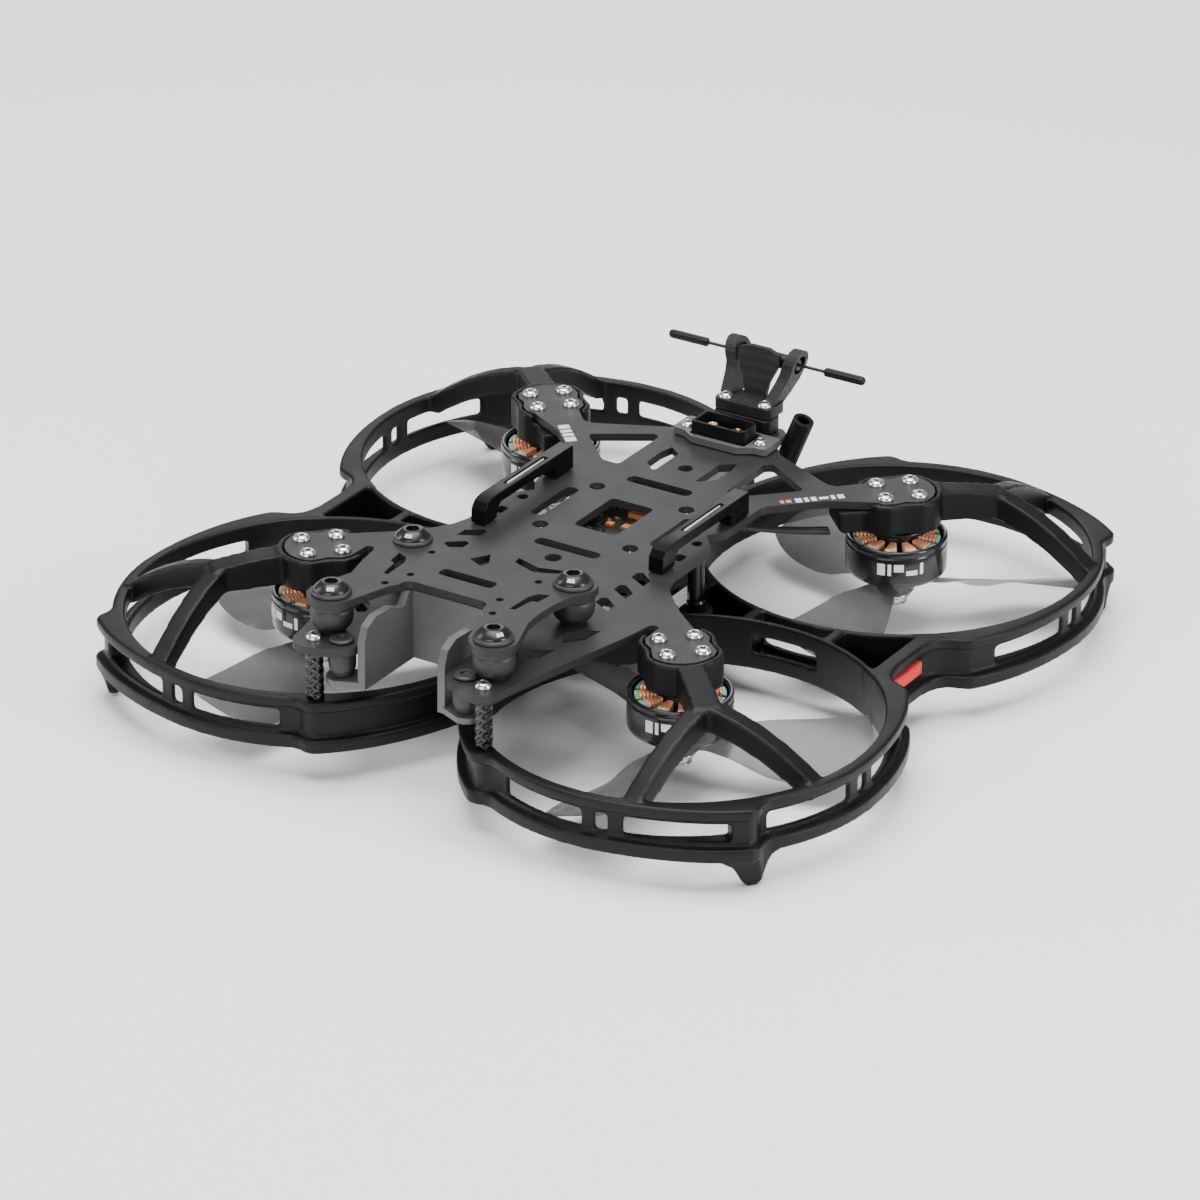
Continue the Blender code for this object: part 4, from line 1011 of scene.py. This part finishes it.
def add_board(node, name, seed, chips, sockets):
    bottom = low(node).z
    top = bottom + 1.2
    corner = high(node).x
    clip = corner - 3.4
    outline = [(corner, -clip), (corner, clip), (clip, corner), (-clip, corner), (-corner, clip),
               (-corner, -clip), (-clip, -corner), (clip, -corner)]
    holes = [circle((sx * STACK_HALF, sy * STACK_HALF), 1.7, 24) for sx, sy in CORNERS]
    sheet = bevelled(slab(outline, bottom, top, holes), 0.08, 1)
    show(sheet, name, "solder_mask", stands_for=[node], smooth=None)
    taken = corner_zones() + [(x, y, a, b) for x, y, a, b, t in chips + sockets]
    blocks = [block((x - a, x + a), (y - b, y + b), (top, top + t), 0.12) for x, y, a, b, t in chips]
    pins = []
    for x, y, a, b, t in chips:
        for i in range(int(a * 2 / 0.8)):
            u = x - a + 0.5 + 0.8 * i
            leg = rectangle((u - 0.15, u + 0.15), (y - b - 0.4, y + b + 0.4))
            pins.append(slab(leg, top, top + 0.16))
    show(joined(blocks), name + "_chips", "chip_resin", smooth=None)
    amber, ends, dark = [], [], []
    for i, (x, y, a, b) in enumerate(scattered(seed, 46, corner - 1.6, taken, (0.75, 0.42))):
        pile = amber if i % 3 == 0 else dark
        p, q = a * 0.66, b * 0.66
        pile.append(block((x - p, x + p), (y - q, y + q), (top, top + 0.5), 0.06, 1))
        ends.append(block((x - a, x + a), (y - b * 0.6, y + b * 0.6), (top, top + 0.38), 0.06, 1))
    for x, y, a, b, t in sockets:
        amber.append(block((x - a, x + a), (y - b, y + b), (top, top + t), 0.2))
    show(joined(amber), name + "_amber", "amber_parts", smooth=None)
    show(joined(dark), name + "_parts", "chip_resin", smooth=None)
    show(joined(ends + pins), name + "_solder", "solder_pads", smooth=None)


def add_electronics():
    add_board("flight_controller", "flight_board", 3,
              [(0.4, -1.0, 3.0, 3.0, 0.8), (-8.0, 4.6, 1.7, 1.7, 0.7), (8.4, -6.0, 2.2, 1.5, 0.7)],
              [(3.2, 5.6, 1.1, 0.9, 1.0), (0.2, 5.9, 1.1, 0.9, 1.0), (5.9, 3.2, 0.8, 1.1, 1.0),
               (-4.2, 5.4, 1.0, 0.8, 1.0), (0.0, 13.0, 3.0, 1.4, 1.4), (0.0, -13.0, 3.0, 1.4, 1.4)])
    add_board("speed_controller", "power_board", 11,
              [(sx * 8.5, sy * 7.6, 2.2, 2.2, 0.8) for sx, sy in CORNERS],
              [(0.0, 9.0, 1.2, 1.2, 0.8), (0.0, -9.0, 1.2, 1.2, 0.8)])
    posts, bushes = [], []
    upper = high("bottom_plate").z
    for sx, sy in CORNERS:
        centre = (sx * STACK_HALF, sy * STACK_HALF)
        posts.append(turned([(0.0, PLATE_BOTTOM - 0.05), (1.45, PLATE_BOTTOM - 0.05),
                             (1.45, upper + 0.05), (0.0, upper + 0.05)], centre, 24))
        for node in ("flight_controller", "speed_controller"):
            z = low(node).z + 0.6
            bushes.append(turned([(1.5, z + 1.4), (2.3, z + 1.3), (2.5, z + 0.8), (1.72, z + 0.6),
                                  (1.72, z - 0.6), (2.5, z - 0.8), (2.3, z - 1.3), (1.5, z - 1.4)],
                                 centre, 32, closed=True, soft=0.1))
    show(joined(posts), "stack_posts", "silver_steel")
    show(joined(bushes), "stack_bushes", "damper_rubber", smooth=50.0)


# ---- power connector and antennas ----
def add_connector():
    rounded_copy("power_connector", 0.22, "plug_shell", "duct_nylon")
    rounded_copy("connector_bracket", 0.22, "plug_bracket", "cage_plastic")
    for side in SIDES:
        node = "connector_pin_" + side
        centre, top, base = middle(node), high(node).z, low(node).z
        pin = turned([(0.0, top - 0.5), (0.55, top - 0.5), (0.55, top), (1.15, top), (1.7, top - 0.55),
                      (1.7, base - 0.25), (0.0, base - 0.25)], centre, 40, soft=0.12)
        show(pin, "gold_pin_" + side, "gold_contact", stands_for=[node])
    bracket = high("connector_bracket")
    y = middle("connector_bracket").y
    add_screws("plug_screws", [(-10.4, y - 0.2, bracket.z), (10.4, y - 0.2, bracket.z)], 1.7, 1.15, 0.68)


def add_antennas():
    rounded_copy("antenna_mount", 0.35, "antenna_fork_print", "printed_flexible", angle=40.0)
    rounded_copy("antenna_pedestal", 0.3, "antenna_pedestal_print", "printed_flexible")
    seats = [(-5.6, 61.4, FORK_FOOT_TOP), (5.6, 61.4, FORK_FOOT_TOP)]
    add_screws("antenna_screws", seats, 1.75, 1.2, 0.7)
    node = "dipole_antenna"
    y, z = middle(node).y, middle(node).z
    half = high(node).x
    lay = Matrix.Translation((0.0, y * MM, z * MM)) @ spin(90.0, "Y")

    def grooves(angle, r, level):
        return 0.06 * math.cos(9.0 * angle) * (1.0 if abs(r - 1.1) < 0.12 else 0.0)

    sleeves = []
    for sign in (1.0, -1.0):
        levels = [(1.1, half - 0.9 - i * 0.35) for i in range(30)]
        profile = [(0.0, half), (0.65, half - 0.12), (0.98, half - 0.45)] + levels
        profile += [(0.95, 17.0), (0.0, 16.9)]
        if sign < 0.0:
            profile = [(r, -level) for r, level in reversed(profile)]
        sleeves.append(turned(profile, steps=48, wobble=grooves))
    sleeves = joined(sleeves)
    show(moved(sleeves, lay), "antenna_sleeves", "antenna_sleeve", stands_for=[node], smooth=50.0)
    rods = joined([turned([(0.0, 17.2), (0.42, 17.2), (0.42, 9.0), (0.0, 9.0)], steps=20),
                   turned([(0.0, -9.0), (0.42, -9.0), (0.42, -17.2), (0.0, -17.2)], steps=20)])
    show(moved(rods, lay), "antenna_rods", "lead_silicone")
    hub = turned([(0.0, 9.3), (1.5, 9.3), (1.5, 8.6), (1.9, 8.4), (1.9, -8.4), (1.5, -8.6), (1.5, -9.3),
                  (0.0, -9.3)], steps=40, soft=0.2)
    show(moved(hub, lay), "antenna_hub", "antenna_sleeve")
    lean = shift(12.3, 60.0, 29.2) @ spin(22.0, "Y")
    guide = turned([(1.6, 14.6), (2.7, 14.6), (2.7, 0.0), (1.6, 0.0)], steps=48, closed=True, soft=0.2)
    show(moved(guide, lean), "antenna_guide", "duct_nylon", stands_for=["antenna_tube"])


# ---- studio ----
def add_floor():
    reach = (-FLOOR_HALF, FLOOR_HALF)
    floor = temporary(slab(rectangle(reach, reach), -2.2, -0.2))
    floor.name = "studio_floor"
    paper = bpy.data.materials.new("studio_paper")
    paper.use_nodes = True
    shader = paper.node_tree.nodes["Principled BSDF"]
    shader.inputs["Base Color"].default_value = (0.90, 0.90, 0.90, 1.0)
    shader.inputs["Roughness"].default_value = 0.85
    floor.data.materials.append(paper)


def add_light(name, place, size, power, aim=(0.0, 0.0, 25.0)):
    data = bpy.data.lights.new(name, "AREA")
    data.shape = "RECTANGLE"
    data.size, data.size_y = size[0] * MM, size[1] * MM
    data.energy = power
    lamp = bpy.data.objects.new(name, data)
    lamp.location = Vector(place) * MM
    lamp.rotation_euler = (Vector(aim) - Vector(place)).to_track_quat("-Z", "Y").to_euler()
    bpy.context.scene.collection.objects.link(lamp)


def add_camera():
    azimuth, elevation = math.radians(32.41), math.radians(26.08)
    back = Vector((math.sin(azimuth) * math.cos(elevation), -math.cos(azimuth) * math.cos(elevation),
                   math.sin(elevation)))
    right = Vector((math.cos(azimuth), math.sin(azimuth), 0.0))
    up = back.cross(right)
    data = bpy.data.cameras.new("camera")
    data.lens = 176.5
    data.sensor_width = 36.0
    data.clip_start = 0.05
    data.clip_end = 50.0
    camera = bpy.data.objects.new("camera", data)
    place = back * 1416.0 - right * 3.1 - up * 20.25 + Vector((0.0, 0.0, 36.0))
    camera.matrix_world = Matrix.Translation(place * MM) @ Matrix((right, up, back)).transposed().to_4x4()
    bpy.context.scene.collection.objects.link(camera)
    bpy.context.scene.camera = camera


def add_studio():
    add_floor()
    world = bpy.data.worlds.new("studio")
    world.use_nodes = True
    world.node_tree.nodes["Background"].inputs["Color"].default_value = (1.0, 1.0, 1.0, 1.0)
    world.node_tree.nodes["Background"].inputs["Strength"].default_value = 0.30
    bpy.context.scene.world = world
    add_light("overhead", (0.0, 0.0, 1100.0), (1000.0, 1000.0), 26.0)
    add_light("rear", (-550.0, 800.0, 480.0), (500.0, 300.0), 1.3)
    add_light("left", (-850.0, -350.0, 350.0), (250.0, 600.0), 3.5)
    add_light("right", (900.0, 50.0, 330.0), (250.0, 600.0), 6.5)
    add_light("front", (150.0, -1000.0, 420.0), (700.0, 220.0), 6.0)
    add_camera()


add_ducts()
add_foam()
add_main_plate()
add_rails()
add_standoffs()
for index, place in enumerate(PLACES):
    add_motor(place, index)
    add_leads(place)
add_cage()
for side in SIDES:
    add_lower_ball(side)
add_electronics()
add_connector()
add_antennas()
add_studio()
